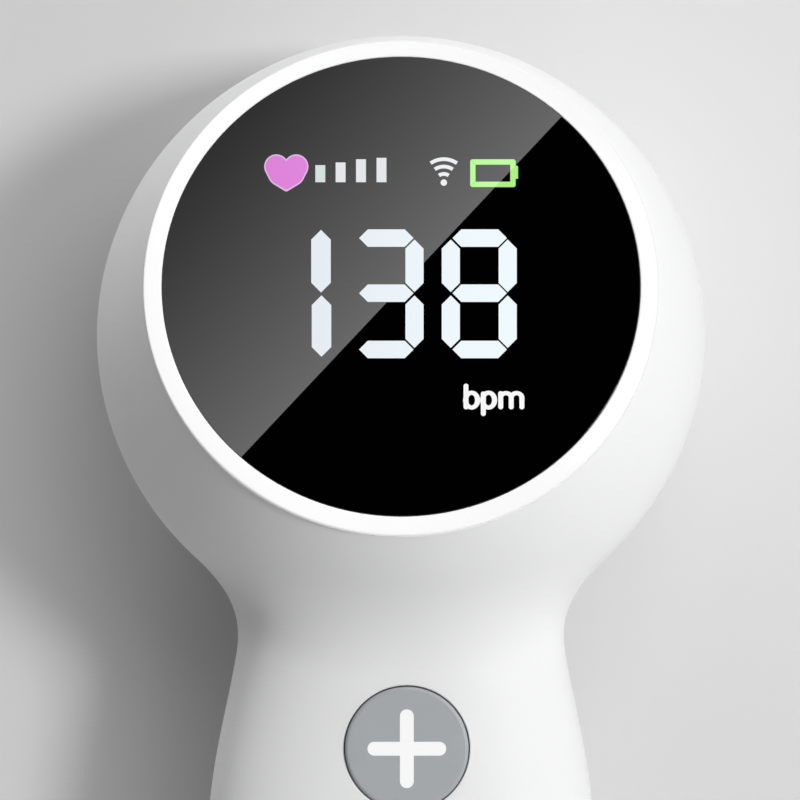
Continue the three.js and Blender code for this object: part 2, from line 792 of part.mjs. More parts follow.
// The power sign's bar joins its ring, so that the sign is one moulded piece
function powerSign(stroke) {
  const half = stroke / 2;
  const [outer, inner] = [powerSignRadius + half, powerSignRadius - half];
  const [from, to] = [Math.PI / 2 + powerSignGap, Math.PI / 2 - powerSignGap + 2 * Math.PI];
  const ring = new THREE.Shape();
  ring.absarc(0, 0, outer, from, to, false);
  ring.absarc(0, 0, inner, to, from, true);
  const bar = new THREE.Shape();
  bar.moveTo(half, -powerSignRadius);
  bar.lineTo(half, outer);
  bar.absarc(0, outer, half, 0, Math.PI, false);
  bar.lineTo(-half, -powerSignRadius);
  return [ring, bar];
}

function signSolid(shapes, low, high, curveSegments) {
  return joined(shapes.map((shape) => toSolid(slab(shape, low, high, curveSegments))));
}

const keys = [
  {
    name: 'plus',
    outline: (grow) => plusSign(signStroke + 2 * grow, signLength + 2 * grow),
    arcSteps: 4,
  },
  { name: 'power', outline: (grow) => powerSign(powerStroke + 2 * grow), arcSteps: 8 },
  {
    name: 'minus',
    outline: (grow) => minusSign(signStroke + 2 * grow, signLength + 2 * grow),
    arcSteps: 4,
  },
];

function addKey({ name, outline, arcSteps }, y) {
  const face = frontHeight(keyColumn, y, 0) + keyProud;
  const inside = frontHeight(keyColumn, y, wall);
  const flangeTop = inside - keyFlangeDrop;
  const low = flangeTop - keyFlangeThickness;
  const cap = turned([
    [0, low], [keyRadius + keyFlangeWidth, low], [keyRadius + keyFlangeWidth, flangeTop],
    [keyRadius, flangeTop], [keyRadius, face - keyEdge], [keyRadius - keyEdgeFine, face - keyEdgeFine],
    [keyRadius - keyEdge, face], [0, face]], keySides);
  const pocket = signSolid(
    outline(inlayGap), face - signDepth - inlayGap, face + overrun, arcSteps);
  const sign = signSolid(outline(0), face - signDepth, face, arcSteps);
  const cutCap = toSolid(cap).subtract(pocket);
  const stemTop = low - seatGap;
  const switchTop = boardTop + seatGap + switchHeight;
  const boreFloor = switchTop - keyTravel - 3 * seatGap;
  const stem = disc(stemRadius, boreFloor + keyTravel + seatGap, stemTop, smallSides);
  const box = toSolid(block(switchSize, switchSize, switchHeight, 0, 0, boardTop + seatGap));
  const bore = drill(switchBoreRadius, 0, 0, boreFloor, switchTop + overrun, smallSides);
  const pieces = [
    [`${name}_key`, toGeometry(cutCap), greyKey],
    [`${name}_sign`, toGeometry(sign), whiteSign],
    [`${name}_stem`, stem, blackPlastic],
    [`${name}_switch`, toGeometry(box.subtract(bore)), steel],
  ];
  for (const [label, geometry, finish] of pieces) {
    put(label, geometry, finish).position.set(keyColumn, y, 0);
  }
}

function addBoard() {
  const outline = roundedOutline(boardHalfWidth, -boardEnd, -boardStart, boardCorner);
  const holes = screws.filter((screw) => screw.board).map(({ across, along }) => (
    drill(bossRadius + seatGap, across, along, boardBottom - overrun, boardTop + overrun, smallSides)));
  const plate = toSolid(slab(outline, boardBottom, boardTop)).subtract(joined(holes));
  put('main_board', toGeometry(plate), board);
  const low = boardTop + seatGap;
  put('wireless_module', block(moduleWidth, moduleLength, moduleHeight, 0, -modulePlace, low), foil);
  put('processor', block(chipWidth, chipLength, chipHeight, 0, -chipPlace, low), blackPlastic);
  const under = boardBottom - seatGap;
  put('battery_connector', block(connectorWidth, connectorLength, connectorHeight,
    0, -connectorPlace, under - connectorHeight), whiteSign);
  const tapeOutline = roundedOutline(batteryWidth / 2 - batteryCorner,
    -batteryStart - batteryLength + batteryCorner, -batteryStart - batteryCorner, batteryCorner);
  put('battery_tape', slab(tapeOutline, under - tapeThickness, under), greyFoam);
  const batteryTop = under - tapeThickness - seatGap;
  const cell = roundedOutline(batteryWidth / 2, -batteryStart - batteryLength,
    -batteryStart, batteryCorner);
  put('battery', slab(cell, batteryTop - batteryThickness, batteryTop), foil);
}

function addSpeaker() {
  const low = boardTop + seatGap;
  const mid = low + speakerMagnetHeight;
  const high = mid + speakerHeight;
  put('speaker', turned([
    [0, low], [speakerMagnetRadius, low], [speakerMagnetRadius, mid], [speakerRadius, mid],
    [speakerRadius, high], [0, high]], pieceSides), steel).position.set(keyColumn, -speakerPlace, 0);
  put('speaker_gasket', tube(speakerRadius - speakerGasketWidth, speakerRadius,
    high + seatGap / 2, high + seatGap / 2 + speakerGasketThickness, pieceSides), greyFoam)
    .position.set(keyColumn, -speakerPlace, 0);
}

function addSockets() {
  const half = socketHeight / 2;
  const shape = roundedOutline(socketWidth / 2, -half, half, half);
  const bore = roundedOutline(socketWidth / 2 - socketWall, -half + socketWall, half - socketWall,
    half - socketWall);
  const upright = (outline, length) => new THREE.ExtrudeGeometry(outline, {
    depth: length, bevelEnabled: false, curveSegments: 3,
  }).rotateX(-Math.PI / 2);
  const body = toSolid(upright(shape, socketLength));
  const mouth = toSolid(upright(bore, socketLength - 2 * socketWall).translate(0, -socketWall, 0));
  const tongue = toSolid(block(socketTongueWidth, socketLength - socketWall, socketTongueThickness,
    0, (socketLength + socketWall) / 2, -socketTongueThickness / 2));
  const shell = body.subtract(mouth).add(tongue);
  put('charging_socket', toGeometry(shell), steel).position.set(0, -socketMouth, socketMiddle);
  const box = toSolid(block(jackSize, jackLength, jackSize, 0, jackLength / 2, -jackSize / 2));
  const hole = new THREE.CylinderGeometry(
    jackBoreRadius, jackBoreRadius, 2 * jackBoreDepth, smallSides);
  const jack = box.subtract(toSolid(hole));
  put('earphone_jack', toGeometry(jack), blackPlastic)
    .position.set(jackPlace, -jackMouth, jackMiddle);
}

function addLeads() {
  const cupTop = lensThickness + seatGap + cupHeight;
  const start = new THREE.Vector3(0, -crystalRadius / 2, cupTop + seatGap);
  const end = new THREE.Vector3(0, -boardStart - 2 * leadRadius, boardBottom - seatGap);
  const path = new THREE.CubicBezierCurve3(start,
    start.clone().add(new THREE.Vector3(0, 0, 3 * leadRadius)),
    end.clone().add(new THREE.Vector3(0, 0, -5 * leadRadius)), end);
  const section = new THREE.Shape();
  for (let side = 0; side < leadSides; side += 1) {
    const angle = (2 * Math.PI * side) / leadSides;
    const point = [leadRadius * Math.cos(angle), leadRadius * Math.sin(angle)];
    if (side === 0) section.moveTo(...point);
    else section.lineTo(...point);
  }
  section.closePath();
  put('probe_lead', new THREE.ExtrudeGeometry(section,
    { steps: leadSteps, bevelEnabled: false, extrudePath: path }), blackPlastic);
  put('ribbon_connector', block(ribbonConnectorWidth, ribbonConnectorLength,
    ribbonConnectorHeight, 0, -boardStart - ribbonConnectorLength, boardTop + seatGap), whiteSign);
  addRibbon();
}

function addRibbon() {
  const depth = displayBoardTop - displayBoardThickness - seatGap;
  const top = new THREE.Vector2(seatOffset + depth * sin, seatHeight + depth * cos);
  const slope = new THREE.Vector2(-cos, sin);
  const start = top.clone().addScaledVector(slope, displayBoardRadius / 2);
  const end = new THREE.Vector2(-boardStart - ribbonConnectorLength / 2 + seatGap,
    boardTop + seatGap + ribbonConnectorHeight / 2);
  const path = new THREE.CubicBezierCurve(start,
    start.clone().addScaledVector(slope, displayBoardRadius / 2),
    end.clone().add(new THREE.Vector2(2 * ribbonConnectorLength, 0)), end);
  const points = path.getPoints(leadSteps);
  const outline = new THREE.Shape();
  const side = (index, away) => {
    const tangent = path.getTangent(index / leadSteps);
    const normal = new THREE.Vector2(-tangent.y, tangent.x);
    return points[index].clone().addScaledVector(normal, away);
  };
  points.forEach((_, index) => {
    const point = side(index, ribbonThickness / 2);
    if (index === 0) outline.moveTo(point.x, point.y);
    else outline.lineTo(point.x, point.y);
  });
  for (let index = leadSteps; index >= 0; index -= 1) {
    const point = side(index, -ribbonThickness / 2);
    outline.lineTo(point.x, point.y);
  }
  outline.closePath();
  const strip = new THREE.ExtrudeGeometry(outline, { depth: ribbonWidth, bevelEnabled: false });
  const turn = new THREE.Matrix4().makeBasis(
    new THREE.Vector3(0, 1, 0), new THREE.Vector3(0, 0, 1), new THREE.Vector3(1, 0, 0));
  put('display_ribbon', strip.applyMatrix4(turn).translate(-ribbonWidth / 2, 0, 0), copper);
}

addHousing();
addDisplay();
addProbe();
keys.forEach((key, index) => addKey(key, keyPlaces[index]));
addBoard();
addSpeaker();
addSockets();
addLeads();

export default doppler;
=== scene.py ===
# %% [markdown]
# # A handheld fetal doppler
# The doppler is a small moulded instrument: a round head with a display, a short neck and a grip with
# three keys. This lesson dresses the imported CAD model. The CAD pieces are faceted, so every piece that
# shows from outside is modelled again here with a fine surface, in the same place and at the same size.
# The hidden pieces keep their CAD mesh and get a finish.

# %% The frame
import json
import math

import bmesh
import bpy
import numpy as np
from mathutils import Matrix, Vector


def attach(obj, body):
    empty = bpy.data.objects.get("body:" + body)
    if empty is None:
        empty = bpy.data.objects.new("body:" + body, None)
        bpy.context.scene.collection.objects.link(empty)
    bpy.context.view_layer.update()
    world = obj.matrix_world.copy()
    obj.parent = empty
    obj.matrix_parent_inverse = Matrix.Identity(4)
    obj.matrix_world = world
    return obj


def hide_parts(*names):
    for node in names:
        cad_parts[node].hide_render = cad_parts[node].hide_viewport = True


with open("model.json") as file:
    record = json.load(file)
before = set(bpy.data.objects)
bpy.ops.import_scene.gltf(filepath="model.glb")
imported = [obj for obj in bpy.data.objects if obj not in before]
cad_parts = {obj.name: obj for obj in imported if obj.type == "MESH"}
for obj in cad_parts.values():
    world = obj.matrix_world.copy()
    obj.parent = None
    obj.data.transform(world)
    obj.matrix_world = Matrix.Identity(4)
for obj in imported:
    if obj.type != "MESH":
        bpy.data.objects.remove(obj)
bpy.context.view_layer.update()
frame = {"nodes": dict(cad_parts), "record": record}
MM = 0.001  # the frame is in metres, and the sizes below are in millimetres

# %% [markdown]
# ## From millimetres to pieces
# Each piece starts as a bmesh in millimetres, drawn where it belongs. `new_piece` turns it into an object
# in metres that sits at the origin, as the CAD nodes do. A few short names for moves and turns keep the
# later steps easy to read.

# %% From millimetres to pieces
corner_steps = 4


def add_object(name, data):
    made = bpy.data.objects.new(name, data)
    bpy.context.scene.collection.objects.link(made)
    return made


def new_piece(bm, name):
    bmesh.ops.scale(bm, vec=(MM, MM, MM), verts=bm.verts)
    mesh = bpy.data.meshes.new(name)
    bm.to_mesh(mesh)
    bm.free()
    return add_object(name, mesh)


def shifted(x, y, z=0.0):
    return Matrix.Translation((x, y, z))


def rotated(degrees, axis="Z"):
    return Matrix.Rotation(math.radians(degrees), 4, axis)


def moved(form, stand):
    bmesh.ops.transform(form, matrix=stand, verts=form.verts)
    return form


def plain_bar(width, height, corner=0.0):
    """A flat face with square or rounded corners, in the XY plane."""
    bm = bmesh.new()
    bmesh.ops.create_grid(bm, x_segments=1, y_segments=1, size=0.5)
    bmesh.ops.scale(bm, vec=(width, height, 1), verts=bm.verts)
    if corner:
        bmesh.ops.bevel(bm, geom=bm.verts[:], offset=corner, segments=corner_steps, profile=0.5,
                        affect="VERTICES", material=-1)
    return bm


print("pieces go to:", bpy.context.scene.collection.name)

# %% [markdown]
# ## Camera
# The picture looks straight down on the doppler as it lies on its back. A long lens keeps the head and
# the grip at nearly one scale. Its length follows from the camera's distance and from the width that the
# picture spans at the widest part of the housing.

# %% Camera
picture_px = 800
mm_per_px = 0.1052
middle_column_px = 401  # the doppler's middle line
scale_height = 18  # mm_per_px holds at this height above the table
camera_distance = 600
camera_along = -6.733
sensor_width = 36
camera_place = Vector((
    (picture_px / 2 - middle_column_px) * mm_per_px, camera_along, camera_distance + scale_height))


def add_camera():
    lens = bpy.data.cameras.new("photo_camera")
    lens.sensor_width = sensor_width
    lens.lens = sensor_width * camera_distance / (picture_px * mm_per_px)
    camera = add_object("photo_camera", lens)
    camera.location = camera_place * MM
    bpy.context.scene.camera = camera
    print("lens:", round(lens.lens, 1), "mm")


add_camera()

# %% [markdown]
# ## Shader maths
# A finish is easier to read as a formula than as a row of node calls. This small class wraps a socket,
# so that `noise * 0.2 + 0.8` adds its Math nodes by itself. Every other node comes from one method.

# %% Shader maths
black, white = (0, 0, 0), (1, 1, 1)
mix_dark, mix_light, mix_colour = 6, 7, 2  # places of the Mix node's two colours, and of the mixed one


class Flow:
    """A value that flows through a node tree."""

    def __init__(self, tree, socket):
        self.tree = tree
        self.socket = socket

    def maths(self, operation, *values):
        return node(self.tree, "ShaderNodeMath", {"operation": operation}, dict(enumerate(values)))

    def __add__(self, other):
        return self.maths("ADD", self, other)

    def __sub__(self, other):
        return self.maths("SUBTRACT", self, other)

    def __rsub__(self, other):
        return self.maths("SUBTRACT", other, self)

    def __mul__(self, other):
        return self.maths("MULTIPLY", self, other)

    def __pow__(self, other):
        return self.maths("POWER", self, other)

    def __lt__(self, other):
        return self.maths("LESS_THAN", self, other)

    __radd__ = __add__
    __rmul__ = __mul__


def node(tree, kind, settings=None, inputs=None, output=0):
    """Adds a node, sets it, joins its inputs, and gives its output as a Flow."""
    made = tree.nodes.new(kind)
    for key, value in (settings or {}).items():
        setattr(made, key, value)
    for key, value in (inputs or {}).items():
        if isinstance(value, Flow):
            tree.links.new(value.socket, made.inputs[key])
        else:
            made.inputs[key].default_value = value
    return Flow(tree, made.outputs[output])


print("a flow takes + - * ** and <, and other maths by name")

# %% [markdown]
# ## Grain, tint and finish
# Real surfaces are never one plain tone. `grain` gives the soft blotches that break a tone up, `tint` goes
# between two colours, and a finish is a Principled shader that takes both. Noise could come from an image,
# but computed noise has no seams and no end.

# %% Grain, tint and finish


def place_in(tree):
    return node(tree, "ShaderNodeTexCoord", output="Object")


def dot(tree, place, way):
    """How far a place lies along a way."""
    return node(tree, "ShaderNodeVectorMath", {"operation": "DOT_PRODUCT"}, {0: place, 1: way}, "Value")


def grain(tree, size, detail=2.0):
    """Noise with blotches about size millimetres across, from 0 to 1."""
    inputs = {"Vector": place_in(tree), "Scale": 1 / (size * MM), "Detail": detail}
    return node(tree, "ShaderNodeTexNoise", inputs=inputs)


def tint(tree, factor, dark, light):
    """A colour that goes from dark to light as factor goes from 0 to 1."""
    inputs = {0: factor, mix_dark: (*dark, 1), mix_light: (*light, 1)}
    return node(tree, "ShaderNodeMix", {"data_type": "RGBA"}, inputs, mix_colour)


class Finish:
    """One material: a Principled shader with plain values, and flows for what changes over it."""

    def __init__(self, name, color, roughness, **plain):
        self.material = bpy.data.materials.new(name)
        self.material.use_nodes = True
        self.tree = self.material.node_tree
        self.shader = self.tree.nodes["Principled BSDF"]
        self.shader.inputs["Base Color"].default_value = (*color, 1)
        self.shader.inputs["Roughness"].default_value = roughness
        for key, value in plain.items():
            self.shader.inputs[key.replace("_", " ")].default_value = value

    def drive(self, socket, flow):
        self.tree.links.new(flow.socket, self.shader.inputs[socket])
        return self

    def bump(self, height, depth):
        """Raises the look of the surface by height times depth millimetres."""
        inputs = {"Height": height, "Distance": depth * MM, "Strength": 1.0}
        return self.drive("Normal", node(self.tree, "ShaderNodeBump", inputs=inputs))


print("noise scale of a grain one millimetre across:", round(1 / MM))

# %% [markdown]
# ## Table, world and lamps
# A pale table and a dark sky come first. The sky glows near the horizon in two places, behind the head and
# below the grip, which lifts the flanks that face them and leaves the lower left one grey. A small lamp
# stands to the right, half way up, and throws the soft shadow to the left. Two wide ones fill in from
# behind the head and from below the grip. A picture of a room could light it too, but single lamps are
# turned up and down one by one. The camera, and what it sees in gloss or through clear pieces, gets the sky
# as one pale tone.

# %% Table, world and lamps
table_colour, table_roughness = (0.725, 0.725, 0.725), 0.7
table_drop = 0.02  # the table lies a hair under the faces that rest on it
table_size = 3000
sky_seen = 0.86
glow_height, glow_power = 6, 8  # angles here are in degrees
glows = [(108, 3.6), (-68, 2.2)]  # turn from the right towards the head's side, strength
lamp_distance = 650
lamps = [(12, 53, 130, 1.97), (60, 55, 400, 1.08), (-40, 55, 400, 0.44)]  # turn, height, size, power


def towards(turn, height):
    """A direction: turned from +X towards +Y, and raised above the table, both in degrees."""
    turn, height = math.radians(turn), math.radians(height)
    level = math.cos(height)
    return Vector((level * math.cos(turn), level * math.sin(turn), math.sin(height)))


def add_stage_light():
    bpy.context.scene.view_settings.view_transform = "Standard"
    world = bpy.data.worlds.new("studio")
    bpy.context.scene.world = world
    world.use_nodes = True
    tree = world.node_tree
    way = node(tree, "ShaderNodeTexCoord", output="Generated")
    sky = 0.0
    for turn, strength in glows:
        facing = dot(tree, way, towards(turn, glow_height))
        sky = facing.maths("MAXIMUM", facing, 0.0) ** glow_power * strength + sky
    seen = 0.0
    for kind in ("Is Camera Ray", "Is Glossy Ray", "Is Transmission Ray"):
        ray = node(tree, "ShaderNodeLightPath", output=kind)
        seen = ray.maths("MAXIMUM", ray, seen)
    strength = seen * sky_seen + (1 - seen) * sky
    tree.links.new(strength.socket, tree.nodes["Background"].inputs["Strength"])
    tree.nodes["Background"].inputs["Color"].default_value = (*white, 1)


def add_table():
    table = new_piece(moved(plain_bar(table_size, table_size), shifted(0, 0, -table_drop)), "table")
    table.data.materials.append(Finish("pale_table", table_colour, table_roughness).material)


def add_lamp(turn, height, size, power):
    away = towards(turn, height)
    lamp = bpy.data.lights.new("lamp", "AREA")
    lamp.size = size * MM
    lamp.energy = power
    holder = add_object("lamp", lamp)
    holder.location = away * lamp_distance * MM
    holder.rotation_euler = away.to_track_quat("Z", "Y").to_euler()


add_stage_light()
add_table()
for lamp_row in lamps:
    add_lamp(*lamp_row)
print("lamps:", len(lamps), "and glows in the sky:", len(glows))

# %% [markdown]
# ## The housing's surface as a formula
# The head is a swelling drum on a tilted axis, trimmed by a bowl behind it, and the grip is lofted along
# the body. It could be modelled with a subdivided cage, but a formula blends the forms smoothly and gives
# exact heights and normals. The rows of shares are those of the CAD source, so the fine surface lies on
# the faceted one.

# %% Sizes along the body
tail_reach, grip_width, grip_top, arch_height, parting_height = 115, 43.2, 29.5, 8.6, 15
# Rows: place along tail_reach, half width over grip_width, front over grip_top, underside over
# arch_height, parting line over parting_height
grip_shares = [
    (-0.35, 0.398, 1.0, 0.95, 0.56),
    (0.0, 0.392, 1.0, 0.95, 0.58),
    (0.174, 0.372, 1.0, 0.95, 0.66),
    (0.275, 0.394, 1.0, 0.98, 0.94),
    (0.406, 0.4585, 1.0, 1.0, 0.99),
    (0.609, 0.5, 0.993, 0.8, 0.98),
    (0.783, 0.495, 0.962, 0.15, 0.84),
    (0.87, 0.485, 0.94, -0.13, 0.76),
    (0.93, 0.47, 0.92, 0.0, 0.73),
    (1.15, 0.44, 0.86, 0.7, 0.7),
]
# Rows: place along tail_reach, height of the middle over grip_top
spine_shares = [
    (-0.35, 0.5), (-0.27, 0.505), (0.0, 0.62), (0.3, 0.66),
    (0.6, 0.6), (0.85, 0.47), (1.0, 0.5), (1.15, 0.51),
]


def curve_of(rows, column, scale):
    """A smooth curve through one column of shares; its slope at a row is the mean of both sides."""
    places = np.array([row[0] for row in rows]) * tail_reach
    values = np.array([row[column] for row in rows]) * scale
    steps = np.diff(values) / np.diff(places)
    slopes = np.concatenate([steps[:1], (steps[:-1] + steps[1:]) / 2, steps[-1:]])

    def at(place):
        place = np.clip(place, places[0], places[-1])
        i = np.clip(np.searchsorted(places, place) - 1, 0, len(places) - 2)
        gap = places[i + 1] - places[i]
        t = (place - places[i]) / gap
        left = values[i] * (1 + 2 * t) + slopes[i] * gap * t
        right = values[i + 1] * (3 - 2 * t) - slopes[i + 1] * gap * (1 - t)
        return left * (1 - t) ** 2 + right * t ** 2

    return at


grip_half_width = curve_of(grip_shares, 1, grip_width)
grip_front = curve_of(grip_shares, 2, grip_top)
grip_underside = curve_of(grip_shares, 3, arch_height)
parting_line = curve_of(grip_shares, 4, parting_height)
spine_height = curve_of(spine_shares, 1, grip_top)
narrowest = min(row[1] for row in grip_shares)
print("width of the grip at the neck:", round(2 * narrowest * grip_width, 2), "mm")

# %% [markdown]
# ## The levels of the forms
# Each form of the housing is a level, a value that drops below zero inside it: the swelling drum of the
# head, the bowl behind it, and the grip, whose sections follow the rows above. Levels need no faces, so
# the forms stay exact until the last step.

# %% The levels of the forms
display_tilt = math.radians(15.2)
tilt_sin, tilt_cos = math.sin(display_tilt), math.cos(display_tilt)
seat_height, seat_offset = 33.3, 4.85  # middle of the display seat
ring_radius, head_radius, head_depth, head_offset, head_tuck = 26.4, 32.1, 15, 0.47, 4.2
head_swell_share = 1.46  # how fast the drum swells below the ring
bowl_radius, bowl_top, probe_proud, back_flat_radius = 34.5, 17.8, 0.8, 21
tail_length, root_place, root_length = 25, 8, 14  # where the grip rounds off at both ends
grip_squareness, tail_squareness = 2.4, 2.5


def drum_radius(depth):
    rise = head_radius - ring_radius
    start = ring_radius + rise * head_swell_share / head_depth * depth
    swell = 1 - np.clip(1 - depth / head_depth, 0, 1) ** head_swell_share
    past = np.maximum(0, depth / head_depth - 1)
    return np.where(depth <= 0, start, ring_radius + rise * swell - head_tuck * past ** 2)


def depth_below_seat(y, z):
    return -((y - seat_offset) * tilt_sin + (z - seat_height) * tilt_cos)


def drum_level(x, y, z):
    depth = depth_below_seat(y, z)
    lean = head_offset * np.maximum(0, depth) / head_depth
    across = (y - seat_offset) * tilt_cos - (z - seat_height) * tilt_sin + lean
    return np.hypot(x, across) - drum_radius(depth)


def bowl_level(x, y, z):
    depth = bowl_top - probe_proud
    out = np.maximum(0, (np.hypot(x, y) - back_flat_radius) / (bowl_radius - back_flat_radius))
    down = np.maximum(0, (bowl_top - z) / depth)
    return (np.hypot(out, down) - 1) * depth


def grip_level(x, y, z):
    place = -y
    front, underside = grip_front(place), grip_underside(place)
    half = (front - underside) / 2
    side = np.abs(x) / grip_half_width(place)
    lift = np.abs(z - (front + underside) / 2) / half
    section = (side ** grip_squareness + lift ** grip_squareness) ** (1 / grip_squareness)
    tail = np.maximum(0, (place - tail_reach + tail_length) / tail_length)
    root = np.maximum(0, (root_place - place) / root_length)
    total = section ** tail_squareness + tail ** tail_squareness + root ** tail_squareness
    return (total ** (1 / tail_squareness) - 1) * half


print("radius of the drum half way down:", round(float(drum_radius(head_depth / 2)), 2), "mm")

# %% [markdown]
# ## Distances and heights
# Divided by its slope, a level is close to a distance, and two distances blend into one smooth body, as
# clay does where two lumps are pressed together. A search along straight spokes finds where the body ends.

# %% Distances and heights
cap_rise = 4  # the raw head rises this far past the display seat, which is cut later
bowl_rounding, blend_radius = 4, 5.5
level_step, least_slope = 0.01, 0.25
search_reach, halvings = 70, 22  # how far a search looks, and how often it halves that


def distance_to(level, x, y, z):
    value = level(x, y, z)
    slopes = [level(x + level_step, y, z), level(x, y + level_step, z), level(x, y, z + level_step)]
    slope = np.sqrt(sum((beside - value) ** 2 for beside in slopes)) / level_step
    return value / np.maximum(slope, least_slope)


def smooth_union(a, b, radius):
    share = np.clip(0.5 + (b - a) / (2 * radius), 0, 1)
    return b + (a - b) * share - radius * share * (1 - share)


def body_distance(x, y, z):
    drum = distance_to(drum_level, x, y, z)
    bowl = distance_to(bowl_level, x, y, z)
    head = np.maximum(-smooth_union(-drum, -bowl, bowl_rounding), -depth_below_seat(y, z) - cap_rise)
    return smooth_union(head, distance_to(grip_level, x, y, z), blend_radius)


def outward(x, y, z):
    """The direction that faces out of the housing, for many points at once."""
    step = level_step * 2
    slope = np.stack([
        body_distance(x + step, y, z) - body_distance(x - step, y, z),
        body_distance(x, y + step, z) - body_distance(x, y - step, z),
        body_distance(x, y, z + step) - body_distance(x, y, z - step)], axis=-1)
    return slope / np.linalg.norm(slope, axis=-1, keepdims=True)


def crossing(reach, count, is_inside):
    """The reach, for each of count spokes, at which a test stops being true."""
    near, far = np.zeros(count), np.full(count, float(reach))
    for _ in range(halvings):
        middle = (near + far) / 2
        inside = is_inside(middle)
        near = np.where(inside, middle, near)
        far = np.where(inside, far, middle)
    return (near + far) / 2


def front_height(x, y, depth=0.0):
    """Height of the housing's front above points of the table, or of the wall's inside at a depth."""
    x, y = np.atleast_1d(x).astype(float), np.atleast_1d(y).astype(float)
    base = spine_height(-y)
    return base + crossing(search_reach, len(x), lambda rise: body_distance(x, y, base + rise) < -depth)


print("front of the body over the probe's axis:", round(float(front_height(0, 0)[0]), 2), "mm")

# %% [markdown]
# ## Fine housing forms
# The moulded skin needs fine, even faces. They could come from a grid of voxels, but a sphere already has
# the right layout for the body: rings along it and spokes round it. Its poles are turned to the ends of the
# body, each ring is laid on its own cross section, and every point slides along its spoke until it meets
# the surface. The same recipe at a depth gives the inside of the wall.

# %% Fine housing forms
wall, seam_gap = 2.2, 0.3
outer_rings, outer_spokes = 300, 208
inner_rings, inner_spokes = 110, 80
ease_share = 0.8  # how much the rings crowd towards the ends
pole_share = 1e-6  # nearer to an end than this, a point lies on it


def housing_form(name, depth, rings, spokes):
    bm = bmesh.new()
    bmesh.ops.create_uvsphere(bm, u_segments=spokes, v_segments=rings, radius=1)
    bmesh.ops.rotate(bm, verts=bm.verts, cent=(0, 0, 0), matrix=Matrix.Rotation(math.pi / 2, 3, "X"))
    ball = np.array([point.co for point in bm.verts])
    one = np.zeros(1)
    top = crossing(search_reach, 1, lambda r: body_distance(one, r, spine_height(-r)) < -depth)
    tail = -root_place - crossing(tail_reach, 1, lambda r: (
        body_distance(one, -root_place - r, spine_height(root_place + r)) < -depth))
    even = np.arccos(np.clip(-ball[:, 1], -1, 1)) / math.pi
    share = even + ((1 - np.cos(math.pi * even)) / 2 - even) * ease_share
    y = tail + (top - tail) * share
    base = spine_height(-y)
    angle = np.arctan2(ball[:, 2], ball[:, 0])
    across, up = np.cos(angle), np.sin(angle)
    reach = crossing(search_reach, len(y), lambda r: body_distance(r * across, y, base + r * up) < -depth)
    reach[(even < pole_share) | (even > 1 - pole_share)] = 0
    for point, place in zip(bm.verts, np.stack([reach * across, y, base + reach * up], axis=1)):
        point.co = place
    bmesh.ops.recalc_face_normals(bm, faces=bm.faces)
    ends = [round(float(end[0]), 2) for end in (tail, top)]
    print(name, "form:", len(bm.verts), "points, along y:", ends)
    return new_piece(bm, name)


outer_form = housing_form("outer", 0, outer_rings, outer_spokes)
inner_form = housing_form("inner", wall, inner_rings, inner_spokes)
boss_form = housing_form("boss_room", wall / 2, inner_rings, inner_spokes)
tongue_form = housing_form("tongue", (wall + seam_gap) / 2, inner_rings, inner_spokes)
rebate_form = housing_form("rebate", (wall - seam_gap) / 2, inner_rings, inner_spokes)

# %% [markdown]
# ## Turned and raised forms
# The posts, bores and rings of a moulded part are round, and its sockets are slots with round ends. They
# could be ready-made cylinders, but an outline that is spun round an axis takes any step or flare with it,
# and a flat face that is lifted gives a block of any outline.

# %% Turned and raised forms
fine_sides, key_sides, small_sides = 192, 96, 40  # facets round the display, the keys and small posts
same_place = 1e-5  # points that are closer are one


def turned(outline, sides, lean=None):
    """Spins an outline of (radius, height) points round the vertical axis."""
    bm = bmesh.new()
    points = [bm.verts.new((radius, 0, height)) for radius, height in outline]
    edges = [bm.edges.new(pair) for pair in zip(points, points[1:])]
    bmesh.ops.spin(bm, geom=points + edges, cent=(0, 0, 0), axis=(0, 0, 1), dvec=(0, 0, 0),
                   angle=2 * math.pi, steps=sides, use_merge=True, use_duplicate=False)
    bmesh.ops.remove_doubles(bm, verts=bm.verts, dist=same_place)
    bmesh.ops.recalc_face_normals(bm, faces=bm.faces)
    return moved(bm, lean) if lean is not None else bm


def disc(radius, low, high, sides, lean=None):
    return turned([(0, low), (radius, low), (radius, high), (0, high)], sides, lean)


def gathered(*forms):
    """Puts several separate forms into one bmesh."""
    whole = bmesh.new()
    for form in forms:
        mesh = bpy.data.meshes.new("part")
        form.to_mesh(mesh)
        form.free()
        whole.from_mesh(mesh)
        bpy.data.meshes.remove(mesh)
    return whole


def points_of(result):
    """The points that an extrude made."""
    return [item for item in result["geom"] if isinstance(item, bmesh.types.BMVert)]


def raised(bm, low, high):
    """Lifts a flat face into a closed block between two heights."""
    bmesh.ops.translate(bm, vec=(0, 0, low), verts=bm.verts)
    lifted = points_of(bmesh.ops.extrude_face_region(bm, geom=bm.faces[:]))
    bmesh.ops.translate(bm, vec=(0, 0, high - low), verts=lifted)
    bmesh.ops.recalc_face_normals(bm, faces=bm.faces)
    return bm


def stadium(width, height):
    """A flat face with round ends, in the XY plane."""
    bm = bmesh.new()
    radius = height / 2
    bmesh.ops.create_circle(bm, cap_ends=True, radius=radius, segments=small_sides,
                            matrix=rotated(180 / small_sides))
    for point in bm.verts:
        point.co.x += math.copysign(width / 2 - radius, point.co.x)
    return bm


on_display = shifted(0, seat_offset, seat_height) @ Matrix.Rotation(-display_tilt, 4, "X")
print("middle of the display seat:", [round(v, 2) for v in on_display.translation], "mm")

# %% [markdown]
# ## Parting line and screws
# The two shells part on a line that rises under the head, so the cutter is a ribbon along that line, lifted
# into a block. A plain flat cut would be quicker, but it would miss the rise that a look from the side
# shows. Posts and bores share one helper, because they all stand on the screws' axes.

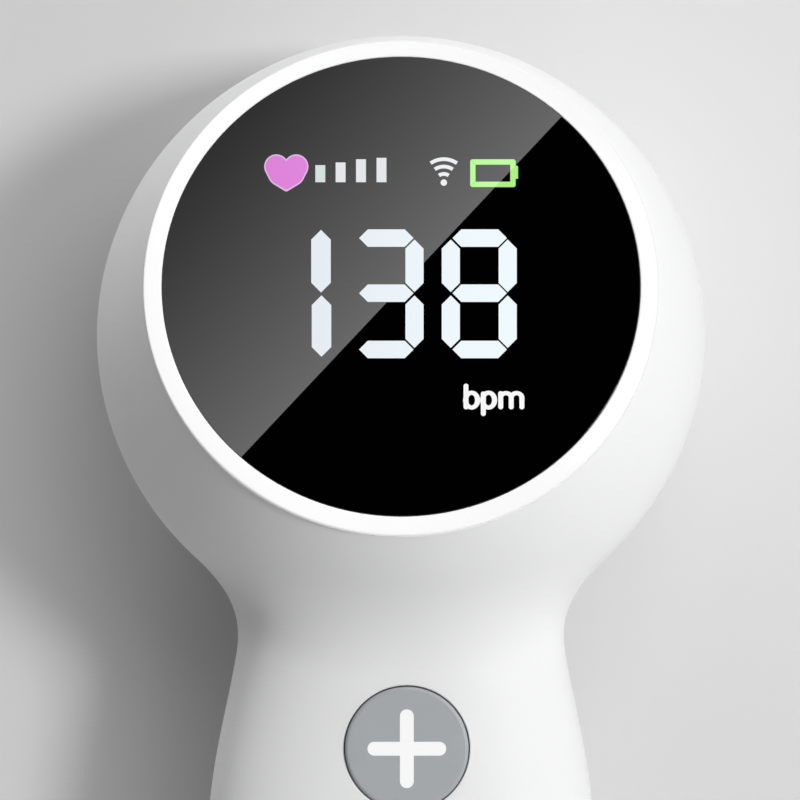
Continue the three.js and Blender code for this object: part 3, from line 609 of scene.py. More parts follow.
# %% Parting line and screws
overrun = 5  # how far a cutter passes its face
parting_steps = 220
# Screws: across, along, height of the seat under the head, whether the board sits on the boss
screws = [(side * across, along, seat, on_board) for across, along, seat, on_board in (
    (26, 3, 6.4, False), (11, -37, 13.1, True), (13.2, -95, 6.6, True)) for side in (-1, 1)]


def above_parting(name, shift):
    """Everything above the parting line, moved up by shift."""
    half_span = bowl_radius + overrun
    bm = bmesh.new()
    along = np.linspace(-tail_reach - overrun, half_span, parting_steps + 1)
    line = [bm.verts.new((-half_span, y, parting_line(-y) + shift)) for y in along]
    edges = [bm.edges.new(pair) for pair in zip(line, line[1:])]
    for point in points_of(bmesh.ops.extrude_edge_only(bm, edges=edges)):
        point.co.z = search_reach
    lifted = points_of(bmesh.ops.extrude_face_region(bm, geom=bm.faces[:]))
    bmesh.ops.translate(bm, vec=(2 * half_span, 0, 0), verts=lifted)
    bmesh.ops.recalc_face_normals(bm, faces=bm.faces)
    return new_piece(bm, name)


def screw_posts(name, radius, span, rows=screws):
    """Posts on the screws' axes; span gives their ends from the parting line's height and the seat's."""
    posts = [disc(radius, *span(float(parting_line(-along)), seat), small_sides, shifted(across, along))
             for across, along, seat, _ in rows]
    return new_piece(gathered(*posts), name)


print("screws:", len(screws))

# %% [markdown]
# ## Holes for keys, sound and plugs
# The cutters of the key and sound holes flare where they leave the surface, which gives each hole the small
# round edge of a mould. A bevel on the cut edge would do the same on a flat face, but this flare follows
# the crown of the grip, because it is measured from the surface itself.

# %% Holes for keys, sound and plugs
seat_gap = 0.3
key_column, key_place, key_pitch = 0.6, 42.7, 18.3
key_rows = [-key_place - row * key_pitch for row in range(3)]
key_hole_radius, key_hole_depth = 6.5, 6
speaker_place, sound_hole_radius, sound_hole_pitch, sound_hole_depth = 93.8, 0.65, 2.1, 4
sound_rings, sound_spokes = 3, 6
hole_flare, flare_steps, flare_cap = 0.16, 5, 1
board_top, board_bottom = 20.4, 19.2
socket_height, socket_width = 3.2, 9
socket_middle = board_bottom - seat_gap - socket_height / 2
jack_place, jack_size, jack_bore_radius, jack_room = 9.7, 5.4, 1.8, 1
jack_middle = board_bottom - seat_gap - jack_size / 2


def flared_drill(x, y, radius, sides, depth):
    """A cutter with a mouth that rounds over into the front of the housing."""
    mouth = [(radius + hole_flare * (1 - math.cos(a)), -hole_flare * (1 - math.sin(a)))
             for a in (math.radians(90 / flare_steps * step) for step in range(flare_steps))]
    outline = [(0, -depth), (radius, -depth), *mouth, (radius + 2 * hole_flare, hole_flare),
               (0, hole_flare + flare_cap)]
    bm = turned(outline, sides, shifted(x, y))
    heights = front_height([v.co.x for v in bm.verts], [v.co.y for v in bm.verts])
    for point, height in zip(bm.verts, heights):
        point.co.z += height
    return bm


def key_and_sound_holes():
    holes = [flared_drill(key_column, y, key_hole_radius, key_sides, key_hole_depth) for y in key_rows]
    for ring in range(sound_rings):
        count = max(1, sound_spokes * ring)
        for hole in range(count):
            angle = 2 * math.pi * hole / count
            x, y = ring * sound_hole_pitch * math.cos(angle), ring * sound_hole_pitch * math.sin(angle)
            holes.append(flared_drill(
                key_column + x, y - speaker_place, sound_hole_radius, small_sides, sound_hole_depth))
    print("holes for keys and sound:", len(holes))
    return new_piece(gathered(*holes), "holes")


def tail_holes():
    port = raised(stadium(socket_width + 2 * seat_gap, socket_height + 2 * seat_gap), -overrun, overrun)
    moved(port, shifted(0, -tail_reach, socket_middle) @ rotated(90, "X"))
    stand = shifted(jack_place, -tail_reach, jack_middle) @ rotated(90, "X")
    jack = disc(jack_bore_radius + jack_room, -2 * overrun, 2 * overrun, small_sides, stand)
    return new_piece(gathered(port, jack), "tail_holes")


print("heights of the sockets:", round(socket_middle, 2), "and", round(jack_middle, 2), "mm")

# %% [markdown]
# ## Wall, seat and heel
# The raw forms still have a full dome where the display sits and a round belly under the tail. Both are cut
# flat, as the mould has them. The inner forms stop at the plate that carries the glass. A moulded part could
# be modelled face by face, but closed forms that are joined and cut keep every wall true and are quick to
# change. `combine` does that and settles the result into a plain mesh.

# %% Wall, seat and heel
glass_proud, glass_thickness, gasket_thickness, seat_plate = 1.1, 1.4, 0.5, 1.6
pocket_floor = glass_proud - glass_thickness - seat_gap / 2 - gasket_thickness - seat_gap / 2
plate_bottom = pocket_floor - seat_plate


def combine(piece, operation, *tools):
    for tool in tools:
        step = piece.modifiers.new(operation.lower(), "BOOLEAN")
        step.operation = operation
        step.solver = "MANIFOLD"
        step.object = tool
    graph = bpy.context.evaluated_depsgraph_get()
    settled = bpy.data.meshes.new_from_object(piece.evaluated_get(graph), depsgraph=graph)
    piece.modifiers.clear()
    piece.data = settled
    return piece


def clear(*tools):
    for tool in tools:
        bpy.data.objects.remove(tool)


def trim_housing():
    seat = new_piece(disc(bowl_radius + overrun, 0, search_reach, small_sides, on_display), "seat")
    heel = new_piece(raised(stadium(2 * grip_width, 2 * grip_width), -overrun, 0), "heel")
    heel.data.transform(shifted(0, -tail_reach * MM, 0))
    combine(outer_form, "DIFFERENCE", seat, heel)
    plate = new_piece(
        disc(bowl_radius + overrun, plate_bottom, search_reach, small_sides, on_display), "plate")
    for form in (inner_form, boss_form):
        combine(form, "DIFFERENCE", plate)
    clear(seat, heel, plate)
    print("outer form after the cuts:", len(outer_form.data.polygons), "faces")
    print("the display's pocket is", -round(pocket_floor, 2), "mm deep")


trim_housing()

# %% [markdown]
# ## Front shell
# The front shell is the upper half of the wall. A rebate runs along its edge for the tongue of the rear
# shell, hollow bosses come down to meet the screws, and behind the display's plate there is room for the
# frame and four stakes that hold it. Each feature could be its own mesh that just overlaps, but a moulding
# is one closed body, so all are joined. The window, the holes and the sockets are cut last, so that they
# also pass through what was added.

# %% Front shell
lip_height = 1.5
boss_radius, shoulder_width = 2.5, 1
screw_shank_radius, screw_length = 0.95, 8
glass_radius, window_radius, fit_room = 24.5, 21.8, 0.1
frame_radius, frame_bottom = 23.4, -4.9  # the frame behind the display, and the stakes that hold it
stake_radius, stake_place, stake_count = 0.9, 22.6, 4


def copy_of(piece, name):
    return add_object(name, piece.data.copy())


def lip(form, top, *cutters):
    """Trims a form to a band along the parting line, from as far below it as the lip is high, up to top."""
    upper, lower = above_parting("lip_top", top), above_parting("lip_low", -lip_height)
    combine(form, "DIFFERENCE", upper, *cutters)
    combine(form, "INTERSECT", lower)
    clear(upper, lower, *cutters)
    return form


def carved(name, *steps):
    """Takes the bare wall through steps, each an operation with its tools, and clears the tools."""
    shell = combine(copy_of(outer_form, name), "DIFFERENCE", inner_form)
    for operation, *tools in steps:
        combine(shell, operation, *tools)
        clear(*tools)
    print(name + ":", len(shell.data.polygons), "faces")
    return shell


def front_bosses():
    bosses = screw_posts("bosses", boss_radius, lambda line, seat: (line + seam_gap / 2, search_reach))
    shoulders = screw_posts(
        "shoulders", boss_radius + shoulder_width,
        lambda line, seat: (board_top + seat_gap, search_reach), [row for row in screws if row[-1]])
    combine(bosses, "UNION", shoulders)
    clear(shoulders)
    return combine(bosses, "INTERSECT", boss_form)


def display_bay():
    """Room for the display's frame behind the plate, and the stakes that the frame sits on."""
    floor = frame_bottom - seat_gap
    bay = disc(frame_radius + seat_gap, floor - overrun, plate_bottom, fine_sides, on_display)
    stakes = []
    for stake in range(stake_count):
        stand = on_display @ rotated(360 * (stake + 0.5) / stake_count) @ shifted(stake_place, 0)
        stakes.append(disc(stake_radius, floor, plate_bottom + seat_plate / 2, small_sides, stand))
    return new_piece(bay, "bay"), new_piece(gathered(*stakes), "stakes")


def front_cutters():
    room = glass_radius + fit_room
    window = turned([(0, -overrun), (window_radius, -overrun), (window_radius, pocket_floor),
                     (room, pocket_floor), (room, overrun), (0, overrun)], fine_sides, on_display)
    shanks = screw_posts("shanks", screw_shank_radius + seat_gap,
                         lambda line, seat: (seat, seat + screw_length + seat_gap))
    return key_and_sound_holes(), shanks, new_piece(window, "window"), tail_holes()


bay, stakes = display_bay()
front_housing = carved(
    "front_housing", ("INTERSECT", above_parting("upper", seam_gap / 2)),
    ("DIFFERENCE", lip(rebate_form, lip_height + seat_gap)), ("UNION", front_bosses()), ("DIFFERENCE", bay),
    ("UNION", stakes), ("DIFFERENCE", *front_cutters()))

# %% [markdown]
# ## Rear shell
# The rear shell is the lower half. It could be a shape of its own, but it is carved from the same forms as
# the front shell, so both meet in one skin. Its tongue is the middle of the wall, raised past the parting
# line and cut away where the front bosses pass. Its own bosses carry the screws, each with a well for the
# head. The probe's round window, its ring and the transducer's cup get three round rooms, one behind the
# other.

# %% Rear shell
boss_low, screw_head_radius, shank_low = 0.2, 2, 1
lens_radius, probe_ring_radius, probe_ring_step, probe_ring_thickness = 17.5, 20.4, 0.4, 1.4
probe_ring_room = 0.12  # play round the soft ring
cup_flange_radius, cup_height = 20, 6.5


def rear_tongue():
    rooms = screw_posts("rooms", boss_radius + seat_gap, lambda line, seat: (line, search_reach))
    return lip(combine(tongue_form, "DIFFERENCE", inner_form), lip_height, rooms)


def rear_posts():
    posts = screw_posts("posts", boss_radius, lambda line, seat: (boss_low, line - seam_gap / 2))
    return combine(posts, "INTERSECT", boss_form)


def rear_cutters():
    inside = probe_proud + wall
    wells = screw_posts("wells", screw_head_radius + seat_gap, lambda line, seat: (-overrun, seat))
    shanks = screw_posts("shanks", screw_shank_radius + seat_gap,
                         lambda line, seat: (shank_low, seat + screw_length))
    rooms = [(lens_radius + fit_room, -overrun, inside + overrun),
             (probe_ring_radius + probe_ring_room, -overrun,
              probe_ring_step + probe_ring_thickness + seat_gap),
             (cup_flange_radius + seat_gap, inside, inside + cup_height)]
    return wells, shanks, *[new_piece(disc(*room, fine_sides), "room") for room in rooms]


rear_housing = carved(
    "rear_housing", ("DIFFERENCE", above_parting("upper", -seam_gap / 2)),
    ("UNION", rear_tongue(), rear_posts()), ("DIFFERENCE", *rear_cutters()))
clear(outer_form, inner_form, boss_form)
print("faces of both shells:", len(front_housing.data.polygons) + len(rear_housing.data.polygons))

# %% [markdown]
# ## True normals on the outer skin
# Cutting leaves long thin triangles, and shading that is averaged over them looks creased. The formula
# knows the true direction of the surface everywhere, so each corner on the outer skin takes its normal
# from there. Corners on edges, walls and holes keep the mesh's own.

# %% True normals on the outer skin
soft_angle = math.radians(32)  # sharper edges than this stay crisp
skin_reach = 0.03  # how near to the surface, in millimetres, a corner counts as on the skin
least_agreement = 0.93  # cosine between a face's normal and the surface's, below which the face keeps its own


def smooth(piece):
    mesh = piece.data
    mesh.polygons.foreach_set("use_smooth", np.ones(len(mesh.polygons), bool))
    mesh.set_sharp_from_angle(angle=soft_angle)


def true_normals(piece):
    smooth(piece)
    mesh = piece.data
    points = np.empty(len(mesh.vertices) * 3)
    mesh.vertices.foreach_get("co", points)
    x, y, z = (points.reshape(-1, 3) / MM).T
    on_skin = np.abs(body_distance(x, y, z)) < skin_reach
    facing = outward(x, y, z)
    corner = np.empty(len(mesh.loops), np.int32)
    mesh.loops.foreach_get("vertex_index", corner)
    flat = np.empty(len(mesh.polygons) * 3)
    mesh.polygons.foreach_get("normal", flat)
    sizes = np.empty(len(mesh.polygons), np.int32)
    mesh.polygons.foreach_get("loop_total", sizes)
    flat = np.repeat(flat.reshape(-1, 3), sizes, axis=0)
    chosen = on_skin[corner] & ((flat * facing[corner]).sum(axis=1) > least_agreement)
    mesh.normals_split_custom_set(np.where(chosen[:, None], facing[corner], 0.0).tolist())
    print(piece.name, "corners on the skin:", int(chosen.sum()), "of", len(corner))


true_normals(front_housing)
true_normals(rear_housing)

# %% [markdown]
# ## Keeping the pieces
# `keep` says three things about a finished piece: the body that it moves with, the CAD nodes that it stands
# for, and the material slot that it takes its finish from. Unless a piece already has its normals, wide
# faces rule the shading where they meet a fine round edge, which keeps flat faces flat.

# %% Keeping the pieces
kept = []


def keep(piece, slot, *nodes, body="housing", shade=True):
    if shade:
        smooth(piece)
        piece.modifiers.new("weighted", "WEIGHTED_NORMAL").keep_sharp = True
    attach(piece, body)
    if nodes:
        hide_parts(*nodes)
    kept.append((piece, slot))
    return piece


def keep_turned(name, slot, outline, sides, lean=None, *nodes):
    return keep(new_piece(turned(outline, sides, lean), name), slot, *nodes)


keep(front_housing, "white_shell", "front_shell", shade=False)
keep(rear_housing, "white_shell", "rear_shell", shade=False)
print("kept:", [piece.name for piece, slot in kept])

# %% [markdown]
# ## Ring and glass
# The glossy ring slopes gently up to the glass and ends flush with it. Its outer edge has a small rounding,
# which draws a crisp line, and the glass has a fine polished edge. A bevel could round both, but an outline
# with arcs in it puts each radius where it belongs. Both are spun on the display axis.

# %% Ring and glass
small_edge_steps, edge_steps, wide_edge_steps = 4, 6, 8  # facets across a rounded edge
ring_foot, ring_foot_round, glass_edge, ring_play = 0.03, 0.15, 0.06, 0.02
ring_wall_top, ring_top_round, ring_slope = 0.55, 0.2, 13  # the slope is in degrees
ring_lip = [(0.2, 0.0), (0.05, 0.01), (0.0, 0.08)]  # its inner edge: out from the glass, down from its face


def arc(middle_radius, middle_height, radius, start, end, steps):
    """Points of an outline on a round stretch, angles in degrees."""
    turns = [math.radians(start + (end - start) * step / steps) for step in range(steps + 1)]
    return [(middle_radius + radius * math.cos(a), middle_height + radius * math.sin(a)) for a in turns]


def make_bezel():
    inner = glass_radius + ring_play
    outline = [(inner, ring_foot)]
    outline += arc(ring_radius - ring_foot_round, ring_foot + ring_foot_round, ring_foot_round,
                   -90, 0, small_edge_steps)
    outline += arc(ring_radius - ring_top_round, ring_wall_top, ring_top_round,
                   0, 90 - ring_slope, edge_steps)
    outline += [(inner + out, glass_proud - down) for out, down in ring_lip] + [(inner, ring_foot)]
    return keep_turned("bezel", "white_ring", outline, fine_sides, on_display, "bezel_ring")


def make_glass():
    low = glass_proud - glass_thickness
    outline = [(0, low), (glass_radius, low)]
    outline += arc(glass_radius - glass_edge, glass_proud - glass_edge, glass_edge, 0, 90, small_edge_steps)
    outline += [(0, glass_proud)]
    return keep_turned("glass", "black_glass", outline, fine_sides, on_display, "display_glass")


bezel, glass = make_bezel(), make_glass()
print("ring and glass:", len(bezel.data.polygons) + len(glass.data.polygons), "faces")

# %% [markdown]
# ## Signs on the display
# The real signs are light that shines through the glass. They could be a picture on it, but shapes stay
# sharp from near by. They are drawn in picture pixels, column and row, and each point is carried along the
# camera's ray to the glass. They become plates a fiftieth of a millimetre proud, so they sit on the glass
# from any side.

# %% From the picture to the glass
sign_proud, sign_depth = 0.02, 0.05
sign_face = on_display @ shifted(0, 0, glass_proud)


def on_glass(column, row):
    """Where the ray through a picture point meets the glass, across and along from its middle."""
    across, along = (column - picture_px / 2) * mm_per_px, (picture_px / 2 - row) * mm_per_px
    start = sign_face.inverted() @ camera_place
    way = sign_face.inverted() @ (camera_place + Vector((across, along, -camera_distance))) - start
    return start - way * (start.z / way.z)


def joined_up(name, forms):
    """Joins closed forms that may run into each other into one piece."""
    first, *others = [new_piece(form, name) for form in forms]
    if others:
        combine(first, "UNION", *others)
        clear(*others)
    return first


def make_sign(name, forms, lift=sign_proud):
    for form in forms:
        raised(form, -sign_depth, lift)
        for point in form.verts:
            spot = on_glass(point.co.x, -point.co.y)
            point.co.x, point.co.y = spot.x, spot.y
        moved(form, sign_face)
    sign = keep(joined_up(name, forms), "black_glass")
    print(name + ":", len(sign.data.polygons), "faces")


print("the picture's middle on the glass:", [round(v, 2) for v in on_glass(picture_px / 2, picture_px / 2)])

# %% [markdown]
# ## Number and unit
# The digits are bars with pointed ends, as on a seven-bar display, with a hair of dark between them. The
# first digit is drawn with two bars of its own. The unit's three letters are round strokes: stems, two
# bowls and two arches. A font could write all this, but none has just these bars and strokes.

# %% Number and unit
# The digits' rows, the sizes of the bars that lie and stand, and each bar's column and row
bar_rows, post_rows = (238.1, 293.2, 349.5), (265.8, 321.7)
bar_length, bar_thickness, post_length, post_thickness = 54.4, 17.4, 52.4, 18.1
lying = [(column, row) for column in (386.3, 479.7) for row in bar_rows]
standing = [(column, row) for column in (414.5, 450.8, 507.7) for row in post_rows]
# The first digit: column, row and length of each bar
one_posts, one_thickness = [(321.0, 261.2, 62.6), (321.5, 326.1, 61.4)], 19.5
# The unit's letters: column, row and height of each stem, then the bowls and arches with half sizes
stroke = 5.0
stems = [(466.0, 396.5, 25.6), (483.35, 403.75, 24.5), (500.7, 400.25, 18.1), (511.2, 402.2, 14.3),
         (521.9, 402.2, 14.3)]
bowls, bowl_row, bowl_outer, bowl_inner = (471.6, 488.6), 400.15, (8.55, 9.45), (3.4, 5.4)
arches, arch_row, arch_outer, arch_inner = (505.95, 516.55), 397.6, (7.75, 6.5), (2.75, 2.4)
bend_steps = 32  # facets along a bent bar
inner_and_outer = (1, 2)  # radii that tell a bent bar's two edges apart until they get their sizes


def pointed_bar(length, thickness):
    bm = bmesh.new()
    bmesh.ops.create_circle(bm, cap_ends=True, radius=1, segments=6, matrix=rotated(90))
    for point in bm.verts:
        side = math.copysign(1, point.co.x)
        point.co.x = side * (length - thickness) / 2 + (point.co.x - side / 2) * thickness
        point.co.y *= thickness / 2 / math.sin(math.pi / 3)
    return bm


def bent_bar(outer, inner, start, end, steps=bend_steps):
    """A bar between two ellipses, given by half sizes; the angles are in degrees, against the clock."""
    bm = bmesh.new()
    ends = [bm.verts.new((radius, 0, 0)) for radius in inner_and_outer]
    edge = bm.edges.new(ends)
    moved(bm, rotated(start))
    bmesh.ops.spin(bm, geom=ends + [edge], cent=(0, 0, 0), axis=(0, 0, 1), dvec=(0, 0, 0),
                   angle=math.radians(end - start), steps=steps, use_merge=end - start == 360,
                   use_duplicate=False)
    for point in bm.verts:
        sizes = outer if point.co.length > sum(inner_and_outer) / 2 else inner
        point.co = point.co.normalized() * Vector((*sizes, 0))
    return bm


def placed(form, column, row, turn=0.0):
    return moved(form, shifted(column, -row) @ rotated(turn))


def number_forms():
    forms = [placed(pointed_bar(bar_length, bar_thickness), *spot) for spot in lying]
    forms += [placed(pointed_bar(post_length, post_thickness), *spot, 90) for spot in standing]
    return forms + [placed(pointed_bar(length, one_thickness), column, row, 90)
                    for column, row, length in one_posts]


def unit_forms():
    forms = [placed(stadium(height, stroke), column, row, 90) for column, row, height in stems]
    forms += [placed(bent_bar(bowl_outer, bowl_inner, 0, 360), column, bowl_row) for column in bowls]
    forms += [placed(bent_bar(arch_outer, arch_inner, 0, 180), column, arch_row) for column in arches]
    return forms


make_sign("number_sign", number_forms())
make_sign("unit_sign", unit_forms())
print("bars of the number:", len(lying) + len(standing) + len(one_posts))

# %% [markdown]
# ## Heart
# The heart's outline could be traced with a curve, but each half is also the form of a string that is drawn
# round three discs, a lobe, a belly and the tip, which keeps both halves round and alike. A pale rim shows
# round it, which is the same form, larger and lower.

# %% Heart
string_steps = 64  # facets round each disc
heart_middle, heart_rim, tip_lift = 286.3, 1.3, 1.4  # middle column, width of the rim, rise of the tip in it
# The discs of the right half: column from the middle, row, radius
heart_lobe, heart_belly, heart_tip = (9.9, 166.6, 12.2), (5.4, 173.1, 13.3), (0, 188.3, 3.1)


def drawn_round(*discs):
    """The form that a string makes when it is drawn round some discs: column, row and radius of each."""
    bm = bmesh.new()
    for column, row, radius in discs:
        bmesh.ops.create_circle(
            bm, cap_ends=False, radius=radius, segments=string_steps, matrix=shifted(column, -row))
    bmesh.ops.convex_hull(bm, input=bm.verts)
    bmesh.ops.dissolve_limit(bm, angle_limit=math.radians(1), verts=bm.verts, edges=bm.edges)
    return bm


def heart_forms(shrink):
    halves = []
    for side in (-1, 1):
        discs = [(heart_middle + side * apart, row, radius - shrink)
                 for apart, row, radius in (heart_lobe, heart_belly)]
        apart, row, radius = heart_tip
        halves.append(drawn_round(*discs, (heart_middle + side * apart, row - tip_lift * shrink, radius)))
    return halves


make_sign("heart_rim", heart_forms(0), sign_proud / 2)
make_sign("heart_sign", heart_forms(heart_rim))
print("discs that shape half a heart:", len((heart_lobe, heart_belly, heart_tip)))

# %% [markdown]
# ## Level, wireless and battery signs
# The level is four bars on one foot line, the wireless sign a plain dot with arcs, and the battery a frame
# with a tip. The frame could be a bar with a smaller one cut out of it, but an inset face that is deleted
# gives it one even stroke.

# %% Small signs
level_tops = [(320.3, 165.2), (340.6, 162.5), (361.0, 159.3), (381.5, 157.9)]  # column, row
level_foot, level_width = 182.2, 9.9
wireless_place, wireless_dot, wireless_stroke = (443.8, 182.6), 6.4, 3.6
wireless_radii, wireless_span = (8.6, 16, 23.4), (56, 124)  # the span is in degrees
# The battery's frame and its tip; the last number of a size is the radius of its corners
battery_place, battery_size, battery_stroke = (492.9, 173.2), (45.4, 27.7, 2.2), 5.3
battery_tip_place, battery_tip_size = (515.7, 172.3), (4.6, 13, 1.0)


def round_bar(radius, thickness, start, end, steps=bend_steps):
    edges = [[radius + side * thickness / 2] * 2 for side in (1, -1)]
    return bent_bar(*edges, start, end, steps)


def level_forms():
    return [placed(plain_bar(level_width, level_foot - top), column, (level_foot + top) / 2)
            for column, top in level_tops]


def wireless_forms():
    arcs = [placed(round_bar(radius, wireless_stroke, *wireless_span), *wireless_place)
            for radius in wireless_radii]
    return [placed(stadium(wireless_dot, wireless_dot), *wireless_place), *arcs]


def battery_forms():
    outline = placed(plain_bar(*battery_size), *battery_place)
    inset = bmesh.ops.inset_region(outline, faces=outline.faces[:], thickness=battery_stroke,
                                   use_boundary=True, use_even_offset=True)
    inner = [face for face in outline.faces if face not in inset["faces"]]
    bmesh.ops.delete(outline, geom=inner, context="FACES_ONLY")
    return [outline, placed(plain_bar(*battery_tip_size), *battery_tip_place)]


make_sign("level_sign", level_forms())
make_sign("wireless_sign", wireless_forms())
make_sign("battery_sign", battery_forms())
print("pieces kept up to the signs:", len(kept))

# %% [markdown]
# ## Keys
# Each key is a cap with a softly rounded edge in a close hole. The white sign is moulded into a pocket of
# the cap and ends flush with it. It could be a print in the cap's material, but as a piece it has a true
# edge and its own plastic. The caps keep the flange that holds them under the shell. The three signs
# differ, so each has a function that draws it, and one function makes the key round it.

# %% Keys
key_radius, key_proud, key_round = 6.38, 0.25, 0.38
key_flange_width, key_flange_thickness, key_flange_drop = 0.72, 0.6, 1
key_sign_length, key_sign_stroke, key_sign_depth, pocket_play = 8.12, 1.43, 0.5, 0.02
power_sign_radius, power_stroke, power_bar_length = 2.8, 1.1, 3.9
power_gap, power_steps = 38, 96  # half the opening of the power sign's ring, in degrees, and its facets


def plus_forms():
    return [moved(stadium(key_sign_length, key_sign_stroke), rotated(turn)) for turn in (0, 90)]


def minus_forms():
    return [stadium(key_sign_length, key_sign_stroke)]


def power_forms():
    ring = round_bar(
        power_sign_radius, power_stroke, 90 + power_gap, 90 + 360 - power_gap, power_steps)
    bar_row = power_bar_length / 2 - power_sign_radius - power_stroke
    return [ring, placed(stadium(power_bar_length, power_stroke), 0, bar_row, 90)]


def key_block(name, forms, y, low, high):
    for form in forms:
        moved(raised(form, low, high), shifted(key_column, y))
    return joined_up(name, forms)


def make_key(name, y, forms):
    face = float(front_height(key_column, y)[0]) + key_proud
    flange_top = float(front_height(key_column, y, wall)[0]) - key_flange_drop
    low, flange_radius = flange_top - key_flange_thickness, key_radius + key_flange_width
    outline = [(0, low), (flange_radius, low), (flange_radius, flange_top), (key_radius, flange_top)]
    outline += arc(key_radius - key_round, face - key_round, key_round, 0, 90, wide_edge_steps)
    outline += [(0, face)]
    cap = new_piece(turned(outline, key_sides * 2, shifted(key_column, y)), name + "_cap")
    pocket = key_block("pocket", forms(), y, face - key_sign_depth - pocket_play, face + overrun)
    combine(cap, "DIFFERENCE", pocket)
    clear(pocket)
    sign = key_block(name + "_mark", forms(), y, face - key_sign_depth, face)
    keep(cap, "grey_key", name + "_key", body=name + "_button")
    keep(sign, "white_plastic", name + "_sign", body=name + "_button")
    print(name, "key face at", round(face, 2), "mm")


key_signs = {"plus": plus_forms, "power": power_forms, "minus": minus_forms}
for (key_name, key_forms), key_y in zip(key_signs.items(), key_rows):
    make_key(key_name, key_y, key_forms)

# %% [markdown]
# ## The back
# The back shows the round acoustic window in its soft ring, and six cross-slot screws in their wells. All
# are turned forms, as their real ones are round. The slots could be painted dark, but they are cut with two
# crossed blocks, so they hold a true shadow. Each screw stands at its own angle, as a hand leaves them.

# %% Probe and screws
lens_thickness, lens_edge = 2.2, 0.35
probe_ring_edge, probe_ring_play = 0.3, 0.08
screw_head_height, screw_dome, dome_steps, screw_turn = 1.3, 0.35, 6, 37  # each is turned 37 degrees on
slot_length, slot_width, slot_depth = 2.5, 0.5, 0.7


def make_probe():
    outline = [(0, lens_thickness), (lens_radius, lens_thickness)]
    outline += arc(lens_radius - lens_edge, lens_edge, lens_edge, 0, -90, wide_edge_steps) + [(0, 0)]
    keep_turned("acoustic_window", "probe_window", outline, fine_sides, None, "probe_lens")
    inner, outer, edge = lens_radius + probe_ring_play, probe_ring_radius, probe_ring_edge
    low, high = probe_ring_step, probe_ring_step + probe_ring_thickness
    outline = [(inner, high), (outer, high), *arc(outer - edge, low + edge, edge, 0, -90, edge_steps),
               *arc(inner + edge, low + edge, edge, -90, -180, edge_steps), (inner, high)]
    keep_turned("soft_ring", "soft_grey", outline, fine_sides, None, "probe_ring")


def make_screw(number, across, along, seat):
    top, foot = -seat_gap - screw_head_height, screw_length - seat_gap
    outline = [(0, foot), (screw_shank_radius, foot), (screw_shank_radius, -seat_gap),
               (screw_head_radius, -seat_gap), (screw_head_radius, top + screw_dome)]
    outline += [(screw_head_radius * math.cos(a), top + screw_dome * (1 - math.sin(a)))
                for a in (math.radians(90 / dome_steps * step) for step in range(1, dome_steps + 1))]
    stand = shifted(across, along, seat) @ rotated(screw_turn * number)
    screw = new_piece(turned(outline, small_sides, stand), f"screw_{number}")
    size = Matrix.Diagonal((slot_length, slot_width, slot_depth * 2, 1))
    slots = []
    for quarter in (0, 90):
        slot = bmesh.new()
        bmesh.ops.create_cube(slot, size=1)
        slots.append(new_piece(moved(slot, stand @ shifted(0, 0, top) @ rotated(quarter) @ size), "slot"))
    combine(screw, "DIFFERENCE", *slots)
    clear(*slots)
    keep(screw, "steel", f"housing_screw_{number}")


make_probe()
for screw_number, (across, along, seat, _) in enumerate(screws, 1):
    make_screw(screw_number, across, along, seat)
print("probe and screws kept:", len(screws) + 2)

# %% [markdown]
# ## The tail
# The tail has a charging socket and an earphone jack. They could be dark patches, as little shows of them,
# but a look into the tail finds real depth, so each is a block with a bore, cut as one would drill it. The
# socket's contact tongue with its strips is added, and the jack's nose, which reaches to the skin and ends
# in a metal collar.

# %% Sockets
socket_length, socket_wall, socket_mouth = 7.4, 0.35, 112.3
tongue_width, tongue_thickness, tongue_corner = 6.3, 0.64, 0.1
contact_count, contact_pitch, contact_width, contact_length = 12, 0.5, 0.24, 3.2
contact_thickness, contact_proud = 0.04, 0.01
jack_length, jack_mouth, jack_bore_depth, jack_corner, jack_overrun = 7.9, 105.6, 6.3, 0.4, 1
nose_radius, nose_length, collar_depth, collar_edge = 2.45, 5.0, 1.5, 0.15


def along_body(x, y, z):
    """Stands a form that rises along +Z so that it runs into the body from the tail instead."""
    return shifted(x, y, z) @ rotated(-90, "X")


def drilled(name, block, bore, slot, node_name):
    piece, drill = new_piece(block, name), new_piece(bore, "drill")
    combine(piece, "DIFFERENCE", drill)
    clear(drill)
    keep(piece, slot, node_name)


def make_charging_socket():
    stand = along_body(0, -socket_mouth, socket_middle)
    floor = socket_length - 3 * socket_wall
    bore = stadium(socket_width - 2 * socket_wall, socket_height - 2 * socket_wall)
    drilled("charging_port", moved(raised(stadium(socket_width, socket_height), 0, socket_length), stand),
            moved(raised(bore, -socket_wall, floor), stand), "steel", "charging_socket")
    tongue = raised(plain_bar(tongue_width, tongue_thickness, tongue_corner), 2 * socket_wall, floor)
    keep(new_piece(moved(tongue, stand), "port_tongue"), "black_plastic")
    strips = []
    for side in (-1, 1):
        for place in range(contact_count):
            across = (place - (contact_count - 1) / 2) * contact_pitch
            spot = stand @ shifted(across, side * (tongue_thickness / 2 + contact_proud))
            strip = raised(plain_bar(contact_width, contact_thickness),
                           3 * socket_wall, 3 * socket_wall + contact_length)
            strips.append(moved(strip, spot))
    keep(new_piece(gathered(*strips), "port_contacts"), "ribbon")


